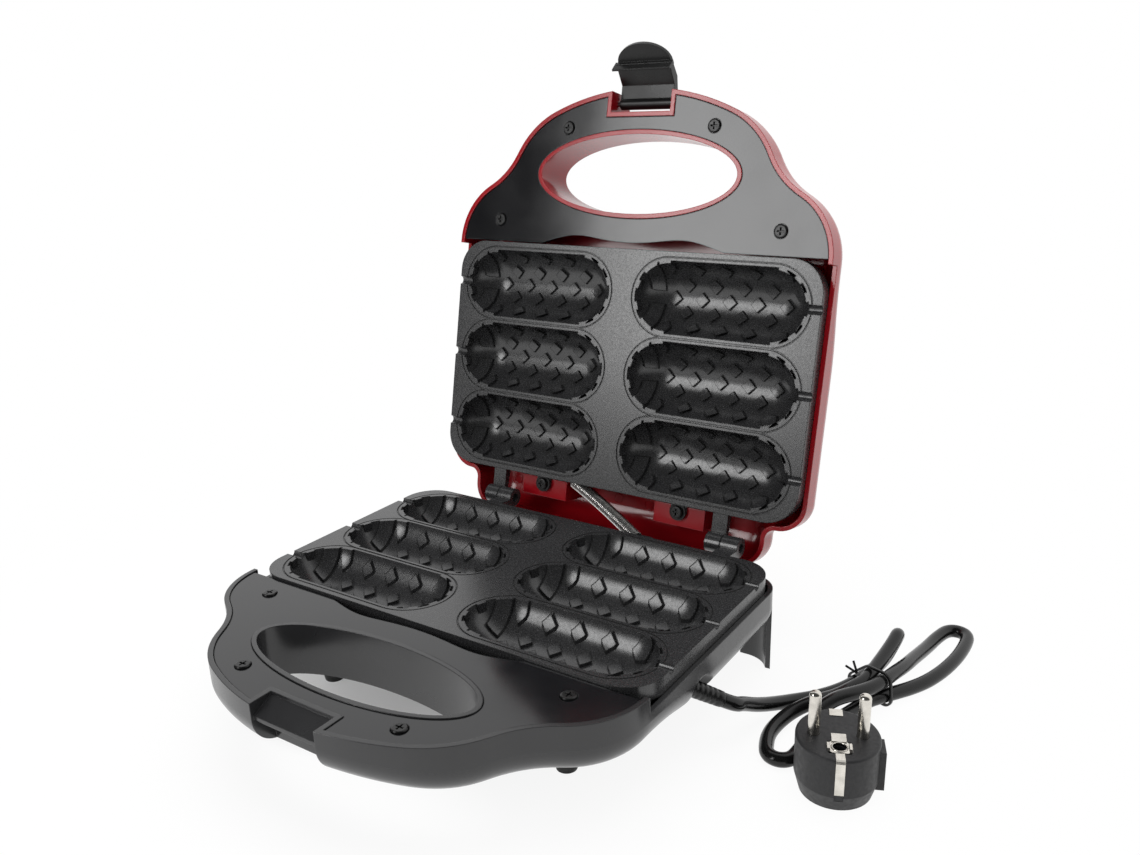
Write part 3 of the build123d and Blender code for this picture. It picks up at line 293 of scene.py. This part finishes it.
def coloured(tree, pattern, dark, light):
    """A colour between dark and light that follows a pattern."""
    ramp = add_node(tree, "ShaderNodeValToRGB")
    first, last = ramp.color_ramp.elements
    first.position, last.position = noise_low, noise_high
    first.color = (*dark, 1)
    last.color = (*light, 1)
    tree.links.new(pattern, ramp.inputs["Fac"])
    return ramp.outputs["Color"]


def soft_edges(tree, radius):
    """A normal that rounds the light over sharp edges."""
    edge = add_node(tree, "ShaderNodeBevel", {"Radius": radius}, samples=bevel_samples)
    return edge.outputs["Normal"]


def edge_share(tree, radius, low=0.93, high=0.999):
    """1 along sharp edges and 0 on flat ground, from how far a rounded normal leans."""
    rounded = soft_edges(tree, radius)
    ground = add_node(tree, "ShaderNodeNewGeometry")
    lean = add_node(tree, "ShaderNodeVectorMath", operation="DOT_PRODUCT")
    tree.links.new(rounded, lean.inputs[0])
    tree.links.new(ground.outputs["Normal"], lean.inputs[1])
    share = add_node(tree, "ShaderNodeMapRange",
                     {"From Min": low, "From Max": high, "To Min": 1.0, "To Max": 0.0})
    tree.links.new(lean.outputs["Value"], share.inputs["Value"])
    return share.outputs["Result"]


def relief(tree, pattern, depth, under=None):
    """A bump of the given depth, laid over another normal if one is given."""
    bump = add_node(tree, "ShaderNodeBump", {"Strength": 1.0, "Distance": depth})
    tree.links.new(pattern, bump.inputs["Height"])
    if under is not None:
        tree.links.new(under, bump.inputs["Normal"])
    return bump.outputs["Normal"]


def shades(colour, spread_share):
    """A darker and a lighter version of a colour."""
    return [tuple(c * (1 + side * spread_share) for c in colour) for side in (-1, 1)]


def dress(finish, *names):
    """Gives one finish to CAD pieces."""
    for name in names:
        slots = nodes[name].data.materials
        slots.clear()
        slots.append(finish)


# %% [markdown]
# ## Glossy moulded plastic
#
# The lid is a deep red, high-gloss moulding, and the base, the handle panels and the latch are
# its black twins. Polished moulds leave a surface that is nearly a mirror, yet reflections in
# it waver a little, because the plastic sinks as it cools. So the finish has a low roughness
# that drifts slowly, a long shallow wave, and a very fine peel on top.

# %% Glossy plastic
def glossy_plastic(name, colour, roughness, peel_depth=4e-6, wave_depth=3e-5, index=1.58):
    """A polished moulded plastic."""
    colour_patch, dull_patch, wave_size, peel_size = 0.05, 0.03, 0.045, 0.0011
    edge_radius = 0.0006
    finish, tree, shader = new_finish(name)
    dark, light = shades(colour, 0.10)
    tree.links.new(coloured(tree, grain(tree, colour_patch), dark, light),
                   shader.inputs["Base Color"])
    tree.links.new(ranged(tree, grain(tree, dull_patch, 4.0), 0.75 * roughness, 1.35 * roughness),
                   shader.inputs["Roughness"])
    shader.inputs["IOR"].default_value = index
    shader.inputs["Specular IOR Level"].default_value = 0.5
    wave = relief(tree, grain(tree, wave_size, 0.0), wave_depth, soft_edges(tree, edge_radius))
    peel = relief(tree, grain(tree, peel_size), peel_depth, wave)
    tree.links.new(peel, shader.inputs["Normal"])
    return finish


red_gloss = glossy_plastic("red_gloss", (0.30, 0.004, 0.009), 0.17)
black_gloss = glossy_plastic("black_gloss", (0.020, 0.020, 0.021), 0.22)
panel_gloss = glossy_plastic("panel_gloss", (0.007, 0.007, 0.008), 0.13, wave_depth=1.5e-5)
latch_black = glossy_plastic("latch_black", (0.006, 0.006, 0.006), 0.30, peel_depth=8e-6,
                             index=1.42)
dress(red_gloss, "lid_shell")
dress(black_gloss, "base_shell")
dress(panel_gloss, "base_handle_panel", "lid_handle_panel")
dress(latch_black, "latch")
print("glossy plastics:", red_gloss.name, black_gloss.name, panel_gloss.name, latch_black.name)

# %% [markdown]
# ## Non-stick coating on the cast plates
#
# The plates are cast aluminium under a sprayed dark coating. It is satin, so the pads and bars
# show as crisp bright and dark facets, and only up close does it break up into a very fine
# speckle. A noise alone looks like cloud, so the flecks come from small random cells, and the
# sand of the casting from a fine bump. Along sharp edges the colour is painted darker, as
# painted shade that outlines each pad, and the roughness there is raised so the edges look
# duller.

# %% Non-stick coating
def non_stick_coating():
    """A dark sprayed satin coating with very fine pale flecks, and painted shade along sharp
    edges.
    """
    fleck_size, sand_size, blotch_size, dull_patch = 0.0007, 0.0005, 0.0006, 0.0012
    fleck_inner, fleck_outer = 0.14, 0.26
    ground_dark, ground_light = (0.013, 0.013, 0.014), (0.030, 0.030, 0.031)
    # The second colour on the next line is painted shade, laid along sharp edges.
    fleck_colour, edge_shade_colour = (0.075, 0.075, 0.078, 1), (0.004, 0.004, 0.004, 1)
    edge_shade_radius, edge_radius, edge_roughness, sand_depth = 0.0007, 0.00045, 0.8, 3.5e-6
    finish, tree, shader = new_finish("non_stick_coating")
    cells = add_node(tree, "ShaderNodeTexVoronoi", {"Scale": 1 / fleck_size, "Randomness": 1.0})
    place = add_node(tree, "ShaderNodeTexCoord")
    tree.links.new(place.outputs["Object"], cells.inputs["Vector"])
    fleck = add_node(tree, "ShaderNodeMapRange",
                     {"From Min": fleck_inner, "From Max": fleck_outer, "To Min": 1.0,
                      "To Max": 0.0})
    tree.links.new(cells.outputs["Distance"], fleck.inputs["Value"])
    ground = coloured(tree, grain(tree, blotch_size, 3.0), ground_dark, ground_light)
    mix = add_node(tree, "ShaderNodeMix", data_type="RGBA")
    mix.inputs[7].default_value = fleck_colour
    tree.links.new(fleck.outputs["Result"], mix.inputs[0])
    tree.links.new(ground, mix.inputs[6])
    # Painted shade: the colour is darkened and the roughness raised along sharp edges, to outline
    # the pads.
    edge_shade = edge_share(tree, edge_shade_radius)
    edge_shaded = add_node(tree, "ShaderNodeMix", data_type="RGBA")
    edge_shaded.inputs[7].default_value = edge_shade_colour
    tree.links.new(edge_shade, edge_shaded.inputs[0])
    tree.links.new(mix.outputs[2], edge_shaded.inputs[6])
    tree.links.new(edge_shaded.outputs[2], shader.inputs["Base Color"])
    shader.inputs["IOR"].default_value = 1.7
    dull = add_node(tree, "ShaderNodeMix", data_type="FLOAT")
    dull.inputs[3].default_value = edge_roughness
    tree.links.new(edge_shade, dull.inputs[0])
    tree.links.new(ranged(tree, grain(tree, dull_patch, 3.0), 0.22, 0.31), dull.inputs[2])
    tree.links.new(dull.outputs[0], shader.inputs["Roughness"])
    sand = relief(tree, grain(tree, sand_size, 3.0), sand_depth, soft_edges(tree, edge_radius))
    tree.links.new(sand, shader.inputs["Normal"])
    return finish


plate_finish = non_stick_coating()
dress(plate_finish, "lower_grill_plate", "upper_grill_plate")
print("plates dressed")

# %% [markdown]
# ## Metals
#
# Screws, pins, the spring sleeve, the plug's contacts and the hidden heating parts are all
# metal, and differ in colour, roughness and the direction of their fine marks. One function
# with a stretched grain covers them, because stretching a noise along one axis turns it into
# drawn or brushed lines.

# %% Metal
def worked_metal(name, colour, roughness, mark_size=0.0006, stretch=(1, 1, 1), depth=4e-6):
    """A metal with fine marks left by how it was made."""
    finish, tree, shader = new_finish(name)
    colour_patch, edge_radius = 0.004, 0.00025
    marks = grain(tree, mark_size, 3.0, stretch)
    dark, light = shades(colour, 0.12)
    tree.links.new(coloured(tree, grain(tree, colour_patch), dark, light),
                   shader.inputs["Base Color"])
    shader.inputs["Metallic"].default_value = 1.0
    tree.links.new(ranged(tree, marks, 0.8 * roughness, 1.25 * roughness),
                   shader.inputs["Roughness"])
    tree.links.new(relief(tree, marks, depth, soft_edges(tree, edge_radius)),
                   shader.inputs["Normal"])
    return finish


spring_wire = worked_metal("spring_wire", (0.74, 0.73, 0.71), 0.22)
nickel = worked_metal("nickel_plate", (0.72, 0.69, 0.63), 0.20, stretch=(1, 1, 0.1))
pin_steel = worked_metal("pin_steel", (0.50, 0.50, 0.51), 0.30)
zinc = worked_metal("zinc_plate", (0.60, 0.60, 0.58), 0.34)
element_steel = worked_metal("element_steel", (0.30, 0.28, 0.26), 0.42)
bright_sheet = worked_metal("rolled_sheet", (0.66, 0.66, 0.67), 0.30, 0.002, (0.06, 1, 1))
dress(spring_wire, "spring_conduit")
dress(nickel, "plug_pins", "plug_earth_contacts")
dress(pin_steel, "hinge_pins", "latch_pin")
dress(zinc, "lower_plate_screws", "upper_plate_screws", "terminal_screws")
dress(element_steel, "lower_heating_element", "upper_heating_element", "lower_element_pins",
      "upper_element_pins", "thermal_fuse", "thermal_fuse_clip", "lamp_bracket")
dress(bright_sheet, "lower_reflector", "upper_reflector", "thermostat")
print("metals dressed")

# %% [markdown]
# ## Matte plastics, rubber and ceramic
#
# The rest are dull: rubber feet, the cord's strain relief, ceramic beads, and the blackened
# screws, whose oxide coat hides the metal. Each has its own colour and grain size, and a
# roughness that drifts with the grain.

# %% Matte finishes
def matte(name, colour, roughness, grain_size, depth, sheen=0.0):
    """A dull moulded or coated surface."""
    finish, tree, shader = new_finish(name)
    edge_radius = 0.0003
    pattern = grain(tree, grain_size, 4.0)
    dark, light = shades(colour, 0.18)
    tree.links.new(coloured(tree, pattern, dark, light), shader.inputs["Base Color"])
    drift = grain(tree, 3 * grain_size, 2.0)
    tree.links.new(ranged(tree, drift, 0.85 * roughness, 1.15 * roughness),
                   shader.inputs["Roughness"])
    shader.inputs["Specular IOR Level"].default_value = 0.45
    shader.inputs["Sheen Weight"].default_value = sheen
    tree.links.new(relief(tree, pattern, depth, soft_edges(tree, edge_radius)),
                   shader.inputs["Normal"])
    return finish


foot_rubber = matte("foot_rubber", (0.012, 0.012, 0.012), 0.72, 0.0009, 2e-5, sheen=0.1)
black_oxide = matte("black_oxide", (0.006, 0.006, 0.006), 0.30, 0.0006, 6e-6)
collar_black = matte("collar_black", (0.010, 0.010, 0.010), 0.55, 0.0008, 1e-5)
ceramic = matte("steatite", (0.78, 0.75, 0.68), 0.48, 0.0008, 1e-5)
nylon = matte("natural_nylon", (0.72, 0.70, 0.64), 0.42, 0.001, 8e-6)
lead_sleeve = matte("lead_sleeve", (0.03, 0.03, 0.03), 0.55, 0.0007, 1.5e-5)
dress(foot_rubber, "front_feet")
dress(black_oxide, "base_panel_screws", "lid_panel_screws", "lid_rear_screws")
dress(collar_black, "lid_rear_collars")
dress(ceramic, "lower_element_beads", "upper_element_beads")
dress(nylon, "terminal_block")
dress(lead_sleeve, "conduit_leads")
print("matte finishes dressed")

# %% [markdown]
# ## Lamps on the lid
#
# Two small lenses in the lid's top show that it is on and that it is hot. Each is a clear
# coloured plastic over a neon bulb, so light has to pass through it. Most of the shader's
# weight goes to transmission, and a light ribbing breaks up what lies behind.

# %% Lenses and bulbs
def lamp_plastic(name, colour, clearness, roughness):
    """A clear coloured plastic or glass."""
    finish, tree, shader = new_finish(name)
    colour_patch, rib_size, rib_depth = 0.002, 0.0009, 1.5e-5
    dark, light = shades(colour, 0.08)
    tree.links.new(coloured(tree, grain(tree, colour_patch), dark, light),
                   shader.inputs["Base Color"])
    shader.inputs["Transmission Weight"].default_value = clearness
    shader.inputs["Roughness"].default_value = roughness
    tree.links.new(relief(tree, grain(tree, rib_size), rib_depth), shader.inputs["Normal"])
    return finish


dress(lamp_plastic("red_lens", (0.62, 0.02, 0.015), 0.55, 0.12), "power_lamp_lens")
dress(lamp_plastic("green_lens", (0.04, 0.42, 0.09), 0.55, 0.12), "ready_lamp_lens")
dress(lamp_plastic("neon_glass", (0.90, 0.78, 0.66), 0.80, 0.05), "neon_bulbs")
print("lamps dressed")

# %% [markdown]
# ## The mains cord
#
# A thick round cord leaves the base at the right rear, folds back and forth in a tied bundle,
# and ends in its plug. Straight pieces joined end to end would look like bent wire. A NURBS
# curve bends evenly past its points, as a sheathed cord does, so the route is a list of places
# and the curve makes the bends. The ends of the tied loops are its tightest bends.

# %% Cord route
cord_diameter = 0.0065
cord_dip = radians(30)
cord_swing = radians(45)
cord_way = Vector((cos(cord_dip) * cos(cord_swing), cos(cord_dip) * sin(cord_swing),
                   -sin(cord_dip)))
relief_start = plate_middle + Vector((0.1025, -0.024, -0.018))
relief_length = 0.024
run_out = 0.007
cord_start = relief_start + cord_way * relief_length
plug_place = plate_middle + Vector((0.1689, -0.0123, -0.052))
plug_turn = radians(23)
spout_way = Vector((-sin(plug_turn), cos(plug_turn), 0))
spout_height = 0.0064
spout_reach = 0.027
run_in = 0.008
spout_end = plug_place + Vector((0, 0, spout_height)) + spout_way * spout_reach

cord_places = [
    (0.1218, 0.0012, -0.0362), (0.1246, 0.0118, -0.0420), (0.1290, 0.0238, -0.0463),
    (0.1344, 0.0338, -0.0485), (0.1406, 0.0406, -0.0487), (0.1467, 0.0480, -0.0480),
    (0.1514, 0.0558, -0.0472), (0.1543, 0.0660, -0.0468), (0.1563, 0.0780, -0.0478),
    (0.1568, 0.0854, -0.0485), (0.1571, 0.0932, -0.0487), (0.1584, 0.0975, -0.0446),
    (0.1604, 0.0975, -0.0390), (0.1617, 0.0932, -0.0349), (0.1616, 0.0852, -0.0364),
    (0.1610, 0.0775, -0.0379), (0.1601, 0.0650, -0.0396), (0.1591, 0.0535, -0.0409),
    (0.1556, 0.0458, -0.0417), (0.1509, 0.0389, -0.0436), (0.1463, 0.0339, -0.0442),
    (0.1416, 0.0282, -0.0449), (0.1367, 0.0214, -0.0469), (0.1339, 0.0130, -0.0485),
    (0.1336, 0.0036, -0.0487), (0.1356, -0.0040, -0.0487), (0.1385, -0.0105, -0.0487),
    (0.1440, -0.0122, -0.0487), (0.1487, -0.0090, -0.0487), (0.1493, -0.0022, -0.0487),
    (0.1496, 0.0046, -0.0480), (0.1491, 0.0122, -0.0453), (0.1496, 0.0204, -0.0408),
    (0.1534, 0.0286, -0.0386), (0.1587, 0.0362, -0.0385), (0.1635, 0.0448, -0.0391),
    (0.1665, 0.0546, -0.0397), (0.1681, 0.0665, -0.0410), (0.1697, 0.0785, -0.0430),
    (0.1702, 0.0908, -0.0452), (0.1710, 0.1024, -0.0472), (0.1719, 0.1126, -0.0485),
    (0.1731, 0.1228, -0.0487), (0.1758, 0.1334, -0.0487), (0.1814, 0.1353, -0.0487),
    (0.1863, 0.1320, -0.0487), (0.1871, 0.1224, -0.0487), (0.1868, 0.1112, -0.0487),
    (0.1854, 0.0998, -0.0487), (0.1831, 0.0892, -0.0487), (0.1798, 0.0788, -0.0486),
    (0.1754, 0.0694, -0.0482), (0.1709, 0.0612, -0.0475), (0.1665, 0.0536, -0.0469),
    (0.1620, 0.0464, -0.0469), (0.1596, 0.0379, -0.0473), (0.1573, 0.0291, -0.0469),
]
route = [cord_start, cord_start + cord_way * run_out]
route += [plate_middle + Vector(place) for place in cord_places]
route += [spout_end + spout_way * run_in, spout_end]
print("cord route:", len(route), "points")

# %% Cord as a smooth curve
def round_line(name, points, radius, sides=3, kind="POLY"):
    """A round wire along points. A NURBS one bends evenly past them."""
    line = bpy.data.curves.new(name, "CURVE")
    line.dimensions = "3D"
    spline = line.splines.new(kind)
    spline.points.add(len(points) - 1)
    for spot, point in zip(spline.points, points):
        spot.co = (*point, 1)
    if kind == "NURBS":
        spline.order_u = 3
        spline.use_endpoint_u = True
        spline.resolution_u = 8
    line.bevel_depth = radius
    line.bevel_resolution = sides
    line.use_fill_caps = True
    return placed(name, line)


cord = round_line("sheathed_cord", route, cord_diameter / 2, sides=6, kind="NURBS")
cord_sheath = glossy_plastic("cord_sheath", (0.005, 0.005, 0.005), 0.19, peel_depth=6e-6,
                             wave_depth=2e-5, index=1.42)
cord.data.materials.append(cord_sheath)
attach(cord, "base")
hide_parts("mains_cord")
dress(cord_sheath, "cord_tie")
dress(matte("plug_plastic", (0.017, 0.017, 0.018), 0.50, 0.0006, 2.2e-5), "plug_body")
print("cord made")

# %% [markdown]
# ## Strain relief
#
# Where the cord leaves the base, a soft sleeve keeps it from bending sharply. It is moulded
# with rings, thinner towards its tip, so that each ring gives a little more than the last.
# A turned form fits it: a short list of radii along the cord's way, spun round it.

# %% Turned forms
def turned(name, profile, start, way, sides=40):
    """A closed form spun round a line, from (distance, radius) pairs in metres."""
    mesh = bmesh.new()
    across = way.orthogonal().normalized()
    other = way.cross(across)
    rings = []
    for distance, radius in profile:
        middle = start + way * distance
        rings.append([mesh.verts.new(middle + (across * cos(2 * pi * k / sides)
                                               + other * sin(2 * pi * k / sides)) * radius)
                      for k in range(sides)])
    for low_ring, high_ring in zip(rings, rings[1:]):
        for k in range(sides):
            after = (k + 1) % sides
            mesh.faces.new((low_ring[k], low_ring[after], high_ring[after], high_ring[k]))
    mesh.faces.new(list(reversed(rings[0])))
    mesh.faces.new(rings[-1])
    bmesh.ops.recalc_face_normals(mesh, faces=mesh.faces)
    data = bpy.data.meshes.new(name)
    mesh.to_mesh(data)
    mesh.free()
    return placed(name, smoothed(data))


# %% The relief's rings
relief_root = 0.0042
relief_tip = 0.0035
ring_count = 7
first_ring = 0.004
ring_spacing = 0.0026
ring_groove = 0.0003
end_round = 0.0006
tip_drop = 0.0003
groove_profile = ((0.0, 0.0), (0.0003, ring_groove), (0.0009, ring_groove), (0.0012, 0.0))
relief_profile = [(0.0, relief_root - end_round), (end_round, relief_root)]
for k in range(ring_count):
    low_end = first_ring + k * ring_spacing
    for step, drop in groove_profile:
        along = low_end + step
        radius = relief_root + (relief_tip - relief_root) * along / relief_length
        relief_profile.append((along, radius - drop))
relief_profile += [(relief_length - end_round, relief_tip),
                   (relief_length, relief_tip - tip_drop)]
relief_sleeve = turned("strain_relief_sleeve", relief_profile, relief_start, cord_way)
relief_sleeve.data.materials.append(matte("relief_rubber", (0.007, 0.007, 0.007), 0.34, 0.0009,
                                          6e-6))
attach(relief_sleeve, "base")
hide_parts("cord_strain_relief")
print("relief rings:", ring_count)

# %% [markdown]
# ## Plug contacts
#
# The plug's earth contact is one bent sheet: a plate round the socket's hole with a tongue
# behind it, two wings beside it, and a long strip folded down over the front. A second strip
# shows only its end at the back. A bent sheet is drawn as its side view, a line with a
# thickness, pulled out to its width. The rim of the hole is a thin rolled ring. The plug's
# own measures are in millimetres.

# %% Bent sheet metal
def plug_spot(x, y, z):
    """A place in the plug's own frame, in millimetres, as a place in the scene."""
    turn = Matrix.Rotation(plug_turn, 3, "Z")
    return plug_place + turn @ Vector((x, y, z)) / 1000


def bent_strip(mesh, line, width, thickness, middle_x=0.0):
    """A strip of sheet whose side view follows a line of (y, z) places in the plug's frame."""
    rows = []
    for k, (y, z) in enumerate(line):
        before = Vector(line[max(k - 1, 0)])
        after = Vector(line[min(k + 1, len(line) - 1)])
        way = (after - before).normalized()
        out = Vector((-way.y, way.x)) * thickness
        corners = ((-width / 2, 0), (width / 2, 0), (width / 2, 1), (-width / 2, 1))
        rows.append([mesh.verts.new(plug_spot(middle_x + x, y + out.x * side, z + out.y * side))
                     for x, side in corners])
    for low_row, high_row in zip(rows, rows[1:]):
        for k in range(4):
            after = (k + 1) % 4
            mesh.faces.new((low_row[k], low_row[after], high_row[after], high_row[k]))
    mesh.faces.new(rows[0])
    mesh.faces.new(list(reversed(rows[-1])))


def rolled_ring(mesh, middle, radius, thickness, sides=36, around=8):
    """A ring of round wire that lies flat."""
    x_middle, y_middle, z_middle = middle
    loops = []
    for k in range(sides):
        turn = 2 * pi * k / sides
        loop = []
        for j in range(around):
            roll = 2 * pi * j / around
            reach = radius + thickness * cos(roll)
            loop.append(mesh.verts.new(plug_spot(x_middle + reach * cos(turn),
                                                 y_middle + reach * sin(turn),
                                                 z_middle + thickness * sin(roll))))
        loops.append(loop)
    for k in range(sides):
        for j in range(around):
            nearby = (j + 1) % around
            mesh.faces.new((loops[k][j], loops[(k + 1) % sides][j],
                            loops[(k + 1) % sides][nearby], loops[k][nearby]))


def pierced_plate(mesh, middle, size, hole_radius, low, high, sides=32):
    """A square plate with a round hole."""
    x_middle, y_middle = middle
    rings = []
    for z in (low, high):
        inner, outer = [], []
        for k in range(sides):
            turn = 2 * pi * (k + 0.5) / sides
            x, y = cos(turn), sin(turn)
            reach = size / 2 / max(abs(x), abs(y))
            inner.append(mesh.verts.new(plug_spot(x_middle + hole_radius * x,
                                                  y_middle + hole_radius * y, z)))
            outer.append(mesh.verts.new(plug_spot(x_middle + reach * x, y_middle + reach * y, z)))
        rings.append((inner, outer))
    (low_in, low_out), (high_in, high_out) = rings
    for k in range(sides):
        after = (k + 1) % sides
        for a, b in ((low_in, low_out), (low_out, high_out), (high_out, high_in),
                     (high_in, low_in)):
            mesh.faces.new((a[k], a[after], b[after], b[k]))


# %% Earth contact
socket_y = -9.0
plug_face = 25.0
wing_middle = 4.3
tongue = [(socket_y + 3.3, plug_face + 0.1), (socket_y + 4.4, plug_face + 0.45),
          (socket_y + 8.2, plug_face + 0.45)]
front_strip = [(socket_y - 3.4, plug_face), (-17.0, plug_face + 0.1), (-17.9, plug_face - 0.3),
               (-18.25, plug_face - 1.3), (-18.15, plug_face - 15.5)]
back_strip = [(12.6, plug_face - 0.1), (17.1, plug_face + 0.05), (17.85, plug_face - 0.7),
              (17.9, plug_face - 6.0)]
wing = [(socket_y - 2.6, plug_face - 0.2), (socket_y - 1.9, plug_face + 0.5),
        (socket_y + 1.9, plug_face + 0.5), (socket_y + 2.6, plug_face - 0.2)]
mesh = bmesh.new()
pierced_plate(mesh, (0, socket_y), size=7.4, hole_radius=2.7, low=plug_face - 0.3,
              high=plug_face + 0.15)
rolled_ring(mesh, (0, socket_y, plug_face + 0.2), radius=2.95, thickness=0.36)
bent_strip(mesh, tongue, width=5.8, thickness=0.4)
bent_strip(mesh, front_strip, width=3.6, thickness=0.35)
bent_strip(mesh, back_strip, width=5.4, thickness=0.35)
for side in (-1, 1):
    bent_strip(mesh, wing, width=1.1, thickness=0.4, middle_x=side * wing_middle)
bmesh.ops.recalc_face_normals(mesh, faces=mesh.faces)
data = bpy.data.meshes.new("plug_earth_sheet")
mesh.to_mesh(data)
mesh.free()
earth_sheet = placed("plug_earth_sheet", data)
data.materials.append(nickel)
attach(earth_sheet, "base")
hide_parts("plug_earth_contacts")
print("earth contact:", len(data.polygons), "faces")

# %% [markdown]
# ## Spring sleeve
#
# The lid's leads cross the hinge inside a close-wound steel spring, which arches a little
# between its ends. A picture of stripes would go flat at the edges, so the wire itself is
# wound: one long curve round an arched line. A dark core inside it stands for the leads and
# closes the narrow gaps.

# %% Wound spring
spring_foot = plate_middle + Vector((0.0303, 0.0688, -0.0040))
spring_head = plate_middle + Vector((-0.0249, 0.0952, 0.0079))
spring_arch = 0.0009
arch_way = Vector((0.3, 0, 1))
spring_radius = 0.0036
spring_wire_radius = 0.00050
spring_pitch = 0.00125
steps_per_turn = 14
core_steps = 16
look_ahead = 0.01


def arched(share):
    """A place on the spring's middle line, from 0 at the foot to 1 at the head."""
    place = spring_foot.lerp(spring_head, share)
    return place + arch_way * spring_arch * 4 * share * (1 - share)


def as_mesh(line_piece):
    """The same piece as a mesh, because only a mesh can bend with a joint."""
    name = line_piece.name
    line = line_piece.data
    seen = line_piece.evaluated_get(bpy.context.evaluated_depsgraph_get())
    data = bpy.data.meshes.new_from_object(seen)
    bpy.data.objects.remove(line_piece)
    bpy.data.curves.remove(line)
    return placed(name, smoothed(data))


turns = int((spring_head - spring_foot).length / spring_pitch)
winding = []
for k in range(turns * steps_per_turn + 1):
    share = k / (turns * steps_per_turn)
    way = (arched(min(share + look_ahead, 1)) - arched(max(share - look_ahead, 0))).normalized()
    across = way.cross(Vector((0, 0, 1))).normalized()
    other = across.cross(way)
    turn = 2 * pi * k / steps_per_turn
    winding.append(arched(share) + (across * cos(turn) + other * sin(turn))
                   * (spring_radius - spring_wire_radius))
spring = as_mesh(round_line("spring_sleeve", winding, spring_wire_radius, sides=1))
spring.data.materials.append(spring_wire)
core_line = [arched(k / core_steps) for k in range(core_steps + 1)]
core = as_mesh(round_line("lead_core", core_line, spring_radius - 2 * spring_wire_radius))
core.data.materials.append(lead_sleeve)
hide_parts("spring_conduit")
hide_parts("conduit_leads")
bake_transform(spring)
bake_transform(core)
print("spring turns:", turns)

# %% [markdown]
# ## Ejector marks
#
# Steel pins push a moulding out of its mould, and leave faint round marks inside. The red wall
# behind the plates has a few. Each is a thin ring laid on the wall where the camera's line
# through that place of the photograph meets it, with the wall's own slope.

# %% Rings on the red wall
mark_pixels = [(619.0, 498.0), (649.0, 505.0), (762.0, 531.0), (519.0, 479.0)]
mark_radius = 0.0026
mark_width = 0.00022
mark_lift = 0.2
ring_steps = 32


def sight_line(pixel):
    """The direction in which the camera sees a pixel of the photograph."""
    across_pixels = pixel[0] - centre_pixel[0]
    down_pixels = pixel[1] - centre_pixel[1]
    return (right * across_pixels - up * down_pixels - back * focal_pixels).normalized()


found = 0
for number, pixel in enumerate(mark_pixels):
    hit, place, slope, _ = nodes["lid_shell"].ray_cast(camera_place, sight_line(pixel))
    if not hit:
        continue
    across = slope.orthogonal().normalized()
    other = slope.cross(across)
    ring_places = []
    for k in range(ring_steps + 1):
        turn = 2 * pi * k / ring_steps
        ring_places.append(place + slope * mark_width * mark_lift
                           + (across * cos(turn) + other * sin(turn)) * mark_radius)
    mark = round_line("ejector_mark_" + str(number + 1), ring_places, mark_width, sides=2)
    mark.data.materials.append(red_gloss)
    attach(mark, "lid")
    found += 1
print("ejector marks:", found)
